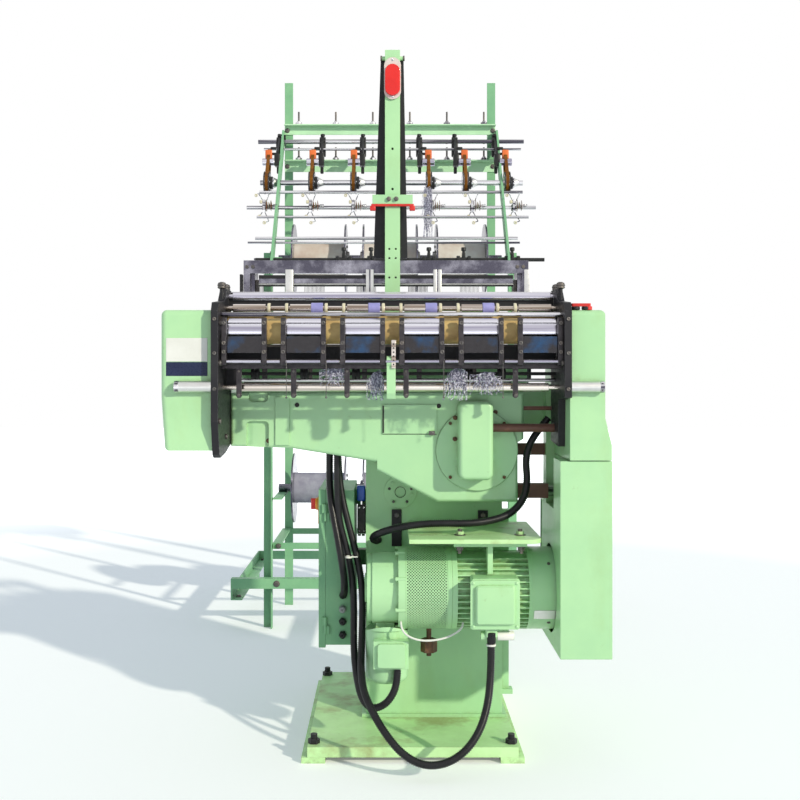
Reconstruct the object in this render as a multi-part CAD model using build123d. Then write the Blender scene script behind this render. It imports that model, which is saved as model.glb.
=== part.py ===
from build123d import *
import math
import os

# Six-head narrow-fabric needle loom. Millimetres, +Z up, +Y away from the weaver.
# The origin is the middle of the floor area that the loom covers.

# Heads
head_count = 6
head_pitch = 133
head_middle = 9.5
roller_length = 79

# Fits
running = 0.05
free_gap = 0.4

# Foot
foot_left, foot_right = -188, 304
foot_front, foot_back = -990, -360
foot_bar_height, foot_bar_width, foot_bar_overhang = 14, 56, 14
foot_plate = 24
bolt_radius, bolt_inset_side, bolt_inset_end = 8, 14, 30

# Column and main casting
column_left, column_right = -56, 289
column_front, column_back = -763, -440
column_top = 700
casting_left, casting_right = -378, 312
casting_front = -910
casting_top = 860
casting_wall = 14
casting_floor = 598
arm_end_bottom = 732
boss_right = 326
back_wall = 18
back_wall_top = 925
gear_cover_x, gear_cover_z, gear_cover_radius = 213, 723, 98
gear_cover_thickness = 8

# Cloth rollers: each is a shaft across the side plates
takeup_y, takeup_z, takeup_radius = -1030, 1003, 30
takeup_shaft = 10
nip_y, nip_z, nip_radius = -980, 1058, 10.5
press_y, press_z, press_radius = -940, 1088, 10
guide_y, guide_z, guide_radius = -1020, 875, 10
journal = 6
needle_y, needle_z = -925, 985
weft_y, weft_z, weft_travel = -935, 1035, 40
sley_y, sley_z, sley_shaft = -868, 885, 8
rod_radius = 6
arm_width, arm_thickness = 11, 14
arm_gap = 13
carrier_y, carrier_z = takeup_y - takeup_radius - arm_gap, 933
arm_bottom, arm_top = carrier_z - 9, takeup_z + 29

# Side plates and end covers: the plates reach past the outer rollers
plate_thickness = 16
plate_left_inner, plate_right_inner = -378, 393
plate_nose = 27
plate_front, plate_back = carrier_y - plate_nose, -895
plate_crown = 7
plate_top = press_z + press_radius + plate_crown
cover_setback = 25
cover_front, cover_back = plate_front + cover_setback, -690
cover_left, cover_right = -511, 488
cover_top, cover_left_bottom, cover_right_bottom = 1050, 733, 711
bar_radius = 12.5

# Post
post_left, post_right = -7.5, 30
post_front, post_back = -815, -790
post_top = 1711

# Drive
motor_y, motor_z, motor_radius = -910, 394, 97
motor_left, motor_right = 150, 337
rib_count, rib_depth, rib_thickness = 40, 12, 3
mount_plate_thickness = 10
mount_plate_z = 521
clutch_left, gear_left, gear_drum_left, gear_flange = 41, -55, -37, 17
fan_right = 404
shaft_radius = 14
main_y, main_z = -870, 622
main_pulley, motor_pulley = 75, 55
belt_thickness, belt_width = 6, 30
pulley_x, pulley_width = 450, 40

# Belt guard: it stands clear of both pulleys
guard_left, guard_right = 388, 505
belt_room_front, belt_room_back = 160, 110
guard_front, guard_back = motor_y - belt_room_front, main_y + belt_room_back
guard_bottom, guard_step, guard_top = 263, 590, 709
guard_wall = 3
shaft_end = guard_right - 13
tunnel_half = 17

# Warp stand
stand_middle = 8
stand_half = 419
angle_leg, angle_wall = 32, 4
front_post_y = 324
rear_post_y = 720
rear_post_top = 2039
front_post_top = 1335
lean = 1.277
lean_y, lean_z = 300, 1305
leg_plate, leg_width = 8, 50
stand_outer = 552
stand_back = 1100
beam_y, beam_upper_z, beam_lower_z = 565, 1335, 475
beam_shaft, flange_radius, flange_thickness = 15, 130, 6
feeder_places = (-420, -253, -97, 121, 258, 413)
belt_gap = 32
feeder_z, hanger_z, stay_z = 1618, 1803, 1768
hanger_radius, stay_radius, feed_radius = 9, 5, 10.5
wheel_radius, belt_roller_radius, belt_roller_z = 42, 15, 1742

# Cabinet
cabinet_left, cabinet_right = -156, -85
cabinet_front, cabinet_back = -800, -540
cabinet_bottom, cabinet_top = 228, 614
door_thickness = 17

heads = [head_middle + head_pitch * (n - (head_count - 1) / 2) for n in range(head_count)]


def block(x0, x1, y0, y1, z0, z1):
    """A box between two corners."""
    size = (abs(x1 - x0), abs(y1 - y0), abs(z1 - z0))
    return Pos((x0 + x1) / 2, (y0 + y1) / 2, (z0 + z1) / 2) * Box(*size)


def rod_x(x0, x1, y, z, radius):
    """A round bar along X."""
    return Pos((x0 + x1) / 2, y, z) * Rot(0, 90, 0) * Cylinder(radius, abs(x1 - x0))


def rod_y(y0, y1, x, z, radius):
    """A round bar along Y."""
    return Pos(x, (y0 + y1) / 2, z) * Rot(90, 0, 0) * Cylinder(radius, abs(y1 - y0))


def rod_z(z0, z1, x, y, radius):
    """A round bar along Z."""
    return Pos(x, y, (z0 + z1) / 2) * Cylinder(radius, abs(z1 - z0))


def plate_xz(points, y0, y1):
    """A plate whose outline is given as (x, z) points."""
    face = Plane.XZ * make_face(Polyline(*points, close=True))
    return Pos(0, y1, 0) * extrude(face, y1 - y0)


def plate_yz(points, x0, x1):
    """A plate whose outline is given as (y, z) points."""
    face = Plane.YZ * make_face(Polyline(*points, close=True))
    return Pos(x0, 0, 0) * extrude(face, x1 - x0)


def loop_yz(first, second, x0, x1):
    """A solid round two circles, each given as y, z and radius, as a belt goes round two pulleys."""
    rims = [Pos(y, z) * CenterArc((0, 0), radius, 0, 360) for y, z, radius in (first, second)]
    face = Plane.YZ * make_hull(rims)
    return Pos(x0, 0, 0) * extrude(face, x1 - x0)


def leg_y(z):
    """Where the slanted legs are at a height."""
    return lean_y + (z - lean_z) / lean


# The middle of each weft feeder's belt, on the outer side of its bracket
belt_places = [x + math.copysign(belt_gap, x - stand_middle) for x in feeder_places]
wheel_hub = wheel_radius - 6
belt_depth = 3
feeder_top_y = leg_y(hanger_z) - 70
pin_radius = 5

parts = {}


# Foot
def base_frame():
    top = foot_bar_height + foot_plate
    pieces = [block(foot_left, foot_right, foot_front, foot_back, foot_bar_height, top)]
    bars = (
        (foot_left - foot_bar_overhang, foot_left - foot_bar_overhang + foot_bar_width),
        (foot_right + foot_bar_overhang - foot_bar_width, foot_right + foot_bar_overhang),
    )
    for x0, x1 in bars:
        pieces.append(block(x0, x1, foot_front, foot_back, 0, foot_bar_height))
    for x, y in bolt_places():
        pieces = [piece - rod_z(-1, top + 1, x, y, bolt_radius + free_gap) for piece in pieces]
    return pieces


def bolt_places():
    xs = (foot_left + bolt_inset_side, foot_right - bolt_inset_side)
    ys = (foot_front + bolt_inset_end, foot_back - bolt_inset_end)
    return [(x, y) for x in xs for y in ys]


def levelling_bolts():
    top = foot_bar_height + foot_plate
    bolts = []
    for x, y in bolt_places():
        nut = Pos(x, y, top) * extrude(RegularPolygon(14, 6), 10)
        bolts.append(rod_z(2, top + 22, x, y, bolt_radius) + nut)
    return bolts


parts["base_frame"] = base_frame()
parts["levelling_bolts"] = levelling_bolts()


# Column: its round flange stops at the casting's edge
def column():
    floor = foot_bar_height + foot_plate
    body = block(column_left, column_right, column_front, column_back, floor, column_top)
    body += block(column_left - 10, column_right + 10, column_front - 10, column_back + 10, floor, floor + 8)
    strip_front = column_front + 18
    body += block(column_right, column_right + 19, strip_front, strip_front + 20, 95, 560)
    body += block(column_right, column_right + 28, strip_front - 10, strip_front + 20, 92, 104)
    flange_x, flange_z, flange_rim, bolt_ring = 31, 607, 41, 30
    flange = rod_y(column_front - 4, column_front, flange_x, flange_z, flange_rim)
    flange -= rod_y(column_front - 5, column_front, flange_x, flange_z, 14)
    for turn in (133, 239, 346):
        x = flange_x + bolt_ring * math.cos(math.radians(turn))
        z = flange_z + bolt_ring * math.sin(math.radians(turn))
        flange += rod_y(column_front - 8, column_front, x, z, 4)
    return body + (flange - plate_xz(casting_outline(0), casting_front, column_front))


# Main casting: the arm, the gear seat and the box over the column
def casting_outline(inset):
    return [
        (casting_left + inset, arm_end_bottom + inset),
        (-232, 727 + inset),
        (-26 + inset * 0.3, 694 + inset),
        (-26 + inset, 674 + inset),
        (119 + inset * 0.3, casting_floor + inset),
        (casting_right - inset, casting_floor + inset),
        (casting_right - inset, 742),
        (boss_right - inset, 750),
        (boss_right - inset, casting_top - inset),
        (casting_left + inset, casting_top - inset),
    ]


def main_casting():
    body = plate_xz(casting_outline(0), casting_front, column_front)
    sides = [
        e
        for e in body.edges()
        if abs(e.center().Y - casting_front) < 0.01 and e.length > 30
    ]
    body = fillet(sides, 8)
    body -= plate_xz(casting_outline(casting_wall), casting_front + casting_wall, column_front + 1)
    body += block(column_left, column_right, column_front, column_back, column_top, casting_top)
    body += block(casting_left, 350, column_front - back_wall, column_front, casting_top - 40, back_wall_top)
    for x0, x1, z0, z1 in ((-340, -286, 726, 792), (-334, -288, 838, 870)):
        pocket = block(x0, x1, casting_front - 1, casting_front + 9, z0, z1)
        body -= fillet(pocket.edges().filter_by(Axis.Y), 10)
    body += block(-270, -236, casting_front - 4, casting_front + 2, 735, 850)
    for x0, x1 in sley_bearings:
        body += block(x0, x1, sley_y - 16, sley_y + 16, casting_top, sley_z + 16)
        body -= rod_x(x0 - 1, x1 + 1, sley_y, sley_z, sley_shaft + running)
    return body - rod_x(casting_right - 60, boss_right + 60, main_y, main_z, shaft_radius + running)


sley_bearings = ((-366, -350), (300, 316))


parts["column"] = column()
parts["main_casting"] = main_casting()


def casting_covers():
    face = casting_front
    gear = rod_y(face - gear_cover_thickness, face, gear_cover_x, gear_cover_z, gear_cover_radius)
    gear = chamfer(gear.edges().sort_by(Axis.Y)[0], 2)
    for turn in (45, 135, 225, 315):
        x = gear_cover_x + (gear_cover_radius - 7) * math.cos(math.radians(turn))
        z = gear_cover_z + (gear_cover_radius - 7) * math.sin(math.radians(turn))
        gear += rod_y(face - gear_cover_thickness - 3, face, x, z, 4.5)
    front = face - gear_cover_thickness
    box = block(166, 247, front - 54, front, 656, 841)
    box = fillet(box.edges().filter_by(Axis.Y), 16)
    box = fillet(box.faces().sort_by(Axis.Y)[0].edges(), 10)
    panel = block(-14, 117, face - 3, face, 762, 832)
    slit = block(-13, -10, face - 4, face + 1, 764, 830)
    latch = block(98, 112, face - 9, face - 3, 760, 768)
    return [gear, box, panel - slit + latch]


parts["casting_covers"] = casting_covers()


# Side plates
plate_spans = {
    "left": (plate_left_inner - plate_thickness, plate_left_inner),
    "right": (plate_right_inner, plate_right_inner + plate_thickness),
}


def journals():
    """Shafts that turn or sit in both side plates: y, z and radius."""
    return [
        (takeup_y, takeup_z, takeup_shaft),
        (nip_y, nip_z, journal),
        (press_y, press_z, journal),
        (guide_y, guide_z, journal),
        (needle_y, needle_z, journal),
        (weft_y, weft_z, journal),
    ]


def side_plate(side):
    x0, x1 = plate_spans[side]
    shoulder = nip_z + 16
    upper = [
        (plate_front, shoulder - 28),
        (plate_front + 14, shoulder - 8),
        (nip_y - 20, shoulder),
        (nip_y + 15, plate_top),
        (plate_back, plate_top),
    ]
    if side == "left":
        lower = [
            (plate_back, 738),
            (guide_y + 35, 722),
            (plate_front + 38, 716),
            (plate_front + 22, 724),
            (plate_front, 800),
        ]
    else:
        lower = [(plate_back, 745), (guide_y + 16, 738), (guide_y + 8, 846), (plate_front, 853)]
    body = plate_yz(upper + lower, x0, x1)
    for y, z, radius in journals():
        body -= rod_x(x0 - 1, x1 + 1, y, z, radius + running)
    middle = (x0 + x1) / 2
    for y, foot in ((nip_y - 10, shoulder - 2), (press_y + 12, plate_top)):
        body += rod_z(foot, plate_top + 14, middle, y, 5)
        body += rod_z(plate_top + 4, plate_top + 10, middle, y, 8)
    return body


parts["side_plates"] = [side_plate("left"), side_plate("right")]


# End covers
def end_cover_left():
    x1 = plate_spans["left"][0]
    outline = [
        (cover_left, 852),
        (cover_left + 8, cover_left_bottom),
        (x1, cover_left_bottom),
        (x1, cover_top),
        (cover_left, cover_top),
    ]
    body = plate_xz(outline, cover_front, cover_back)
    outer = [e for e in body.edges() if e.center().X < cover_left + 9 or e.center().Z > cover_top - 1]
    body = fillet([e for e in outer if e.center().X < x1 - 1], 13)
    return body - rod_x(x1 - weft_travel - 12, x1 + 1, weft_y, weft_z, journal + 2)


def end_cover_right():
    x0 = plate_spans["right"][1]
    outline = [
        (x0, cover_right_bottom),
        (cover_right + 15, cover_right_bottom),
        (cover_right + 15, 745),
        (cover_right, 806),
        (cover_right, cover_top),
        (x0, cover_top),
    ]
    body = plate_xz(outline, cover_front, cover_back)
    outer = [e for e in body.edges() if e.center().Z > cover_top - 1 and e.center().X > x0 + 1]
    body = fillet(outer, 13)
    return body - rod_x(x0 - 1, x0 + weft_travel + 12, weft_y, weft_z, journal + 2)


parts["end_cover_left"] = end_cover_left()
parts["end_cover_right"] = end_cover_right()


# Bars that stand out of the side plates in front of the covers
def hand_bars():
    bars = []
    left, right = plate_spans["left"][0], plate_spans["right"][1]
    for x0, x1 in ((left - 83, left), (right, right + 74)):
        bars.append(rod_x(x0, x1, cover_front - bar_radius, guide_z + 2, bar_radius))
    return bars


def start_handle():
    pivot_x, pivot_y = 452, cover_front + 15
    z = cover_top
    knob = rod_z(z, z + 8, pivot_x, pivot_y, 9)
    lever = block(414, 458, pivot_y - 5, pivot_y + 5, z + 8, z + 15)
    lever = fillet(lever.edges().filter_by(Axis.Z), 4)
    return knob + lever


parts["start_handle"] = start_handle()


# Belt guard with the pulleys and the belt inside
def belt_guard():
    inner = plate_spans["right"][1]
    outer = block(guard_left, guard_right, guard_front, guard_back, guard_bottom, guard_step)
    outer += block(guard_left, guard_right, guard_front, guard_front + 100, guard_step, guard_top)
    outer += block(inner, guard_right, guard_front + 100, guard_back, guard_step, guard_top)
    w = guard_wall
    hollow = block(
        guard_left + w, guard_right - w, guard_front + w, guard_back - w, guard_bottom + w, guard_step - w
    )
    hollow += block(inner + w, guard_right - w, guard_front + w, guard_back - w, guard_step - w - 1, guard_top - w)
    body = outer - hollow
    body -= rod_x(guard_left - 1, guard_left + w + 1, motor_y, motor_z, motor_radius + 8)
    body -= rod_x(inner - 1, inner + w + 1, main_y, main_z, shaft_radius + 6)
    return body + block(guard_left, inner, main_y + 22, main_y + 70, guard_step, 880)


def drive_belt():
    x0, x1 = pulley_x - belt_width / 2, pulley_x + belt_width / 2
    outer = loop_yz(
        (main_y, main_z, main_pulley + belt_thickness),
        (motor_y, motor_z, motor_pulley + belt_thickness),
        x0,
        x1,
    )
    inner = loop_yz(
        (main_y, main_z, main_pulley + 0.1), (motor_y, motor_z, motor_pulley + 0.1), x0 - 1, x1 + 1
    )
    return outer - inner


def pulley(y, z, radius):
    half = pulley_width / 2
    wheel = rod_x(pulley_x - half, pulley_x + half, y, z, radius)
    wheel += rod_x(pulley_x - half, pulley_x - belt_width / 2 - 1, y, z, radius + 5)
    return wheel + rod_x(pulley_x + belt_width / 2 + 1, pulley_x + half, y, z, radius + 5)


def main_shaft():
    return rod_x(casting_right - 58, shaft_end, main_y, main_z, shaft_radius) + pulley(main_y, main_z, main_pulley)


def motor_rotor():
    inner_end = motor_right - 37
    return rod_x(inner_end, shaft_end, motor_y, motor_z, shaft_radius) + pulley(motor_y, motor_z, motor_pulley)


parts["belt_guard"] = belt_guard()
parts["drive_belt"] = drive_belt()
parts["main_shaft"] = main_shaft()
parts["motor_rotor"] = motor_rotor()


# Brown tubes that tie the casting to the right side
def tie_tubes():
    front = -935
    tubes = [rod_x(247, plate_right_inner, front - 10, 778, 10)]
    tubes.append(rod_x(boss_right, plate_right_inner, casting_front + 9, 823, 5))
    tubes.append(block(casting_right, guard_left, -830, -802, 705, 733))
    low, high = main_z - tunnel_half, main_z + tunnel_half
    tunnel = block(casting_right, guard_left, main_y - tunnel_half, main_y + tunnel_half, low, high)
    tubes.append(tunnel - rod_x(casting_right - 1, guard_left + 1, main_y, main_z, shaft_radius + 1))
    return tubes


parts["tie_tubes"] = tie_tubes()


# Motor and gear
def motor_plate():
    left, right, front = 48, 350, -1058
    body = block(left, right, front, column_front, mount_plate_z, mount_plate_z + mount_plate_thickness)
    corners = [e for e in body.edges().filter_by(Axis.Z) if e.center().Y < front + 1 and e.center().X > right - 1]
    body = fillet(corners, 30)
    top = mount_plate_z + mount_plate_thickness
    for x in (167, 307):
        body += Pos(x, motor_y - 80, top) * extrude(RegularPolygon(9, 6), 9)
    straps = [
        block(10, 34, column_front - 6, column_front, mount_plate_z - 51, 562),
        block(228, 252, column_front - 6, column_front, top, 560),
    ]
    return [body] + straps


def motor_body():
    core = rod_x(motor_left, motor_right, motor_y, motor_z, motor_radius - rib_depth)
    ring = rod_x(motor_left, motor_left + 12, motor_y, motor_z, motor_radius)
    ring += rod_x(motor_right - 10, motor_right, motor_y, motor_z, motor_radius)
    body = core + ring
    ribs = []
    for n in range(rib_count):
        turn = 360 / rib_count * n
        if 60 < turn < 120:
            continue
        rib = Pos(0, motor_radius - rib_depth / 2 - 1, 0) * Box(
            motor_right - motor_left - 14, rib_depth + 2, rib_thickness
        )
        ribs.append(Pos((motor_left + motor_right) / 2, motor_y, motor_z) * Rot(turn, 0, 0) * rib)
    body = body + ribs
    feet = []
    for y0, y1 in ((-1012, -962), (-858, -808)):
        foot = block(motor_left + 2, motor_right - 16, y0, y1, mount_plate_z - 14, mount_plate_z)
        foot += block(motor_left + 80, motor_left + 92, y0 + 4, y1 - 4, motor_z + 50, mount_plate_z)
        feet.append(foot - rod_x(motor_left, motor_right, motor_y, motor_z, motor_radius + 0.1))
    return [body - rod_x(298, motor_right + 1, motor_y, motor_z, shaft_radius + running)] + feet


def fan_cover():
    body = rod_x(motor_right, fan_right, motor_y, motor_z, motor_radius)
    body = fillet(body.edges().sort_by(Axis.X)[-1], 14)
    return body - rod_x(motor_right - 1, fan_right + 1, motor_y, motor_z, shaft_radius + running)


def terminal_box():
    base = block(190, 300, -1046, -960, 330, 440)
    base = fillet(base.edges().filter_by(Axis.Y), 6)
    base -= rod_x(motor_left, motor_right, motor_y, motor_z, motor_radius + 0.3)
    lid = block(187, 299, -1052, -1046, 326, 437)
    lid = fillet(lid.edges().filter_by(Axis.Y), 6)
    raised = block(198, 288, -1062, -1052, 337, 426)
    raised = fillet(raised.edges().filter_by(Axis.Y), 8)
    raised = chamfer(raised.faces().sort_by(Axis.Y)[0].edges(), 4)
    gland = block(222, 250, -1042, -1012, 306, 331)
    gland = fillet(gland.edges().filter_by(Axis.Z), 6)
    gland += rod_x(212, 288, gland_y, gland_z, 10)
    saddle = block(200, 290, -1000, -960, 345, 425)
    saddle -= rod_x(motor_left, motor_right, motor_y, motor_z, motor_radius + 0.1)
    return base + lid + raised + gland + saddle


gland_y, gland_z = motor_y - 117, 306


def clutch_cover():
    body = rod_x(clutch_left, motor_left, motor_y, motor_z, motor_radius - 1)
    return body + rod_x(motor_left - 12, motor_left, motor_y, motor_z, motor_radius)


def gear_housing():
    body = rod_x(clutch_left - gear_flange, clutch_left, motor_y, motor_z, motor_radius)
    body += rod_x(gear_drum_left, clutch_left - gear_flange, motor_y, motor_z, 84)
    body += rod_x(gear_drum_left - 12, gear_drum_left, motor_y, motor_z, 80)
    body += rod_x(gear_left, gear_drum_left - 12, motor_y, motor_z, 34)
    for n in range(8):
        turn = math.radians(22.5 + 45 * n)
        y = motor_y + (motor_radius - 3) * math.cos(turn)
        z = motor_z + (motor_radius - 3) * math.sin(turn)
        body += rod_x(clutch_left - gear_flange - 7, clutch_left, y, z, 5)
    return body


def inching_motor():
    x, y, top = -3, motor_y, motor_z - 80
    body = rod_z(172, top, x, y, 51)
    body = fillet(body.edges().sort_by(Axis.Z)[0], 16)
    body += rod_z(top - 14, top, x, y, 56)
    body -= rod_x(gear_left - 10, clutch_left + 30, motor_y, motor_z, 100)
    neck = block(x - 26, x + 18, y - 30, y + 30, top - 30, top + 10)
    neck -= rod_x(gear_left - 10, clutch_left + 30, motor_y, motor_z, 84)
    box = block(-34, 48, y - 74, y - 44, 217, 282)
    lid = block(-24, 40, y - 82, y - 74, 222, 277)
    lid = fillet(lid.edges().filter_by(Axis.Y), 6)
    return body + neck + box + lid


def tension_screw():
    x, y = 98, motor_y
    low = motor_z - motor_radius + 1
    screw = rod_z(230, low - 0.3, x, y, 6)
    knob = extrude(RegularPolygon(20, 6), 30)
    return screw + Pos(x, y, 240) * knob


parts["motor_plate"] = motor_plate()
parts["motor_body"] = motor_body()
parts["fan_cover"] = fan_cover()
parts["terminal_box"] = terminal_box()
parts["clutch_cover"] = clutch_cover()
parts["gear_housing"] = gear_housing()
parts["inching_motor"] = inching_motor()
parts["tension_screw"] = tension_screw()
parts["hand_bars"] = hand_bars()


# Cloth rollers
def across(y, z, radius):
    return rod_x(plate_spans["left"][0], plate_spans["right"][1], y, z, radius)


def takeup_rollers():
    body = across(takeup_y, takeup_z, takeup_shaft)
    half = roller_length / 2
    body += rod_x(heads[0] - half, heads[-1] + half, takeup_y, takeup_z, takeup_radius - 1)
    for x in heads:
        body += rod_x(x - half, x + half, takeup_y, takeup_z, takeup_radius)
    return body


def nip_rollers():
    body = across(nip_y, nip_z, journal)
    for x in heads:
        body += rod_x(x - 38, x + 38, nip_y, nip_z, nip_radius)
    for x in heads[:-1]:
        for off in (46, head_pitch - 46):
            body += rod_x(x + off - 4, x + off + 4, nip_y, nip_z, nip_radius + 1)
    return body


def press_roller():
    return across(press_y, press_z, journal) + rod_x(-367, 384, press_y, press_z, press_radius)


def guide_roller():
    return across(guide_y, guide_z, journal) + rod_x(-340, 368, guide_y, guide_z, guide_radius)


def roller_brackets():
    """Black arms in front of the drum, the bar that carries them and the dark plates between them."""
    front = carrier_y - arm_thickness / 2
    body = rod_x(plate_left_inner, plate_right_inner, carrier_y, carrier_z, rod_radius)
    for x in heads:
        for side in (-1, 1):
            middle = x + side * (roller_length / 2 + arm_width / 2)
            x0, x1 = middle - arm_width / 2, middle + arm_width / 2
            arm = block(x0, x1, front, front + arm_thickness, arm_bottom, arm_top)
            arm = fillet(arm.edges().filter_by(Axis.X), 4)
            for z in (955, 975, 1020):
                arm += rod_y(front - 4, front, middle, z, 4)
            body += arm
        low, high = x - roller_length / 2, x + roller_length / 2
        body += block(low, high, front + arm_thickness - 5, front + arm_thickness - 2, 953, 990)
    return body


def front_rods():
    rods = [rod_x(plate_left_inner, plate_right_inner, takeup_y - takeup_radius, takeup_z + 37, 4.5)]
    rods.append(rod_x(plate_left_inner, plate_right_inner, press_y + 34, press_z + 11, 3.5))
    rods.append(rod_x(plate_left_inner, plate_right_inner, guide_y + 55, guide_z + 16, 4))
    return rods


def hanging_straps():
    """A bar behind the arms with flat straps that hang down in front of the guide roller."""
    front, drop = guide_y - 38, guide_z + 43
    straps = [block(plate_left_inner, plate_right_inner, front, front + 12, drop, drop + 12)]
    for x in (-338, -214, -93, 41, 289):
        strap = block(x - 6, x + 6, front + 6, front + 11, guide_z - 17, drop)
        straps.append(strap + rod_y(front + 4, front + 14, x, guide_z - 18, 6))
    return straps


def stop_lever():
    x0, x1 = -3, 17
    hub = rod_x(x0, x1, carrier_y, carrier_z, 13)
    arm = plate_yz(
        [
            (carrier_y - 8, carrier_z),
            (carrier_y - 14, 862),
            (carrier_y - 8, 850),
            (carrier_y + 6, 850),
            (carrier_y + 12, 862),
            (carrier_y + 8, carrier_z),
        ],
        x0,
        x1,
    )
    strap = block(8, 17, carrier_y - 11, carrier_y - 6, carrier_z, 980)
    body = hub + arm + strap
    return body - rod_x(x0 - 1, x1 + 1, carrier_y, carrier_z, rod_radius + running)


parts["takeup_rollers"] = takeup_rollers()
parts["nip_rollers"] = nip_rollers()
parts["press_roller"] = press_roller()
parts["guide_roller"] = guide_roller()
parts["roller_brackets"] = roller_brackets()
parts["front_rods"] = front_rods()
parts["hanging_straps"] = hanging_straps()
parts["stop_lever"] = stop_lever()


# Post with the warning lamp
def post():
    body = block(post_left, post_right, post_front, post_back, casting_top, post_top)
    body -= block(post_left + 4, post_right - 4, post_front + 4, post_back + 1, casting_top + 20, post_top - 4)
    middle = (post_left + post_right) / 2
    for z in (1465, 1365):
        body -= rod_y(post_front - 1, post_back + 1, middle, z, 3)
    for z in (1216, 1193, 1145):
        for x in (middle - 8, middle + 8):
            body -= rod_y(post_front - 1, post_back + 1, x, z, 2.5)
    bar = block(middle - 50, middle + 50, post_front - 6, post_front, 1327, 1350)
    for x in (middle - 9, middle + 9):
        bar += rod_y(post_front - 10, post_front - 6, x, 1339, 4)
    for x in (post_left - 8, post_right):
        bar += rod_x(x, x + 8, post_front + 12, post_top - 18, 5)
    return body + bar


def cable_channel():
    return plate_xz([(-18, 1700), (39, 1700), (49, 1196), (-36, 1196)], post_back, post_back + 22)


def warning_lamp():
    x = (post_left + post_right) / 2
    base = Plane.XZ * SlotOverall(104, 42, rotation=90)
    base = Pos(x, post_front, 1639) * extrude(base, 6)
    dome = Plane.XZ * SlotOverall(78, 38, rotation=90)
    dome = Pos(x, post_front - 6, 1640) * extrude(dome, 30)
    dome = fillet(dome.faces().sort_by(Axis.Y)[0].edges(), 14)
    return base + dome


parts["post"] = post()
parts["cable_channel"] = cable_channel()
parts["warning_lamp"] = warning_lamp()


# Shedding, weft insertion and beat-up
def harness_frame():
    front, back = column_front, column_front + 22
    left, right = -366, 340
    bars = [block(left, right + 16, front, back, 1160, 1193)]
    for x in (left, -258, -54, 117, right):
        bars.append(block(x, x + 16, front, back, casting_top + 20, 1160))
    return bars


def heald_frame(y):
    left, right = -340 + 0.3, 330 - 0.3
    bars = [block(left, right, y, y + 8, 1132, 1146), block(left, right, y, y + 8, 985, 999)]
    for x in (left, right - 8):
        bars.append(block(x, x + 8, y, y + 8, 999, 1132))
    return bars


def heald_guides():
    """Channels behind the harness frame in which the heald frames slide."""
    front = column_front + 22
    return [block(x, x + 16, front, front + 70, 960, 1175) for x in (-356, 330)]


def sley():
    y, z = sley_y, sley_z
    body = rod_x(sley_bearings[0][0], sley_bearings[-1][1], y, z, sley_shaft)
    body += block(-340, 350, y - 8, y + 8, 965, 977)
    for x in (-300, *heads[1:-1], 280):
        body += block(x - 6, x + 6, y - 6, y + 6, z, 966)
    reeds = []
    for x in heads:
        reed = block(x - 28, x + 28, y - 4, y + 4, 977, 1050)
        reed -= block(x - 23, x + 23, y - 5, y + 5, 984, 1043)
        for n in range(-5, 6):
            reed += block(x + 4 * n - 0.6, x + 4 * n + 0.6, y - 3, y + 3, 984, 1043)
        reeds.append(reed)
    return [body] + reeds


def weft_needles():
    """Six curved needles on one bar that slides through both side plates."""
    left, right = plate_spans["left"][0] - weft_travel - 5, plate_spans["right"][1]
    body = rod_x(left, right, weft_y, weft_z, journal)
    for x in heads:
        body += block(x - 34, x - 22, weft_y - 9, weft_y + 9, weft_z - 9, weft_z + 9)
        bow = Pos(x - 28, weft_y, weft_z + 9) * (Cylinder(28, 3) - Cylinder(24, 4))
        body += bow & block(x - 28, x + 10, weft_y - 1, weft_y + 30, weft_z, weft_z + 20)
        body += block(x - 30, x - 25.5, weft_y - 2, weft_y + 27.5, weft_z + 7.5, weft_z + 10.5)
    return body


def needle_shaft():
    """Rocking shaft with a latch needle holder at each head."""
    body = rod_x(plate_spans["left"][0], plate_spans["right"][1], needle_y, needle_z, journal)
    for x in heads:
        body += rod_x(x + 30, x + 44, needle_y, needle_z, 11)
        body += block(x + 33, x + 41, needle_y - 4, needle_y + 4, needle_z, needle_z + 36)
    return body


parts["weft_needles"] = weft_needles()
parts["needle_shaft"] = needle_shaft()
parts["harness_frame"] = harness_frame() + heald_guides()
parts["front_healds"] = heald_frame(column_front + 30)
parts["rear_healds"] = heald_frame(column_front + 50)
parts["sley"] = sley()


# Warp stand
def angle_z(x, y, z0, z1, x_side, y_side):
    """An upright angle bar whose corner is at x, y and whose legs go to the given sides."""
    leg = angle_leg
    wall = angle_wall
    body = block(x, x + x_side * leg, y, y + y_side * wall, z0, z1)
    return body + block(x, x + x_side * wall, y, y + y_side * leg, z0, z1)


sides = ((-1, stand_middle - stand_half), (1, stand_middle + stand_half))


def stand_front_posts():
    y = front_post_y + angle_leg
    return [angle_z(x, y, 0, front_post_top, side, -1) for side, x in sides]


def stand_rear_posts():
    posts = []
    for side, x in sides:
        inner = x - side * leg_plate
        posts.append(angle_z(inner, rear_post_y, 0, rear_post_top, -side, 1))
    return posts


def stand_legs():
    legs = []
    for side, x in sides:
        z0, z1 = 1262, 1850
        half = leg_width / 2 / math.sin(math.atan(lean))
        outline = [
            (leg_y(z0) - half, z0),
            (leg_y(z0) + half, z0),
            (leg_y(z1) + half, z1),
            (leg_y(z1) - half, z1),
        ]
        leg = plate_yz(outline, min(x, x - side * leg_plate), max(x, x - side * leg_plate))
        for z, radius, _, _ in warp_rods():
            leg -= rod_x(x - 20, x + 20, leg_y(z), z, radius)
        leg -= rod_x(x - 20, x + 20, leg_y(feeder_z), feeder_z, feed_radius + running)
        if side > 0:  # the last feeder's pin goes through this leg
            leg -= rod_x(x - 20, x + 20, feeder_top_y, belt_roller_z, pin_radius)
        legs.append(leg)
    return legs


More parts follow.
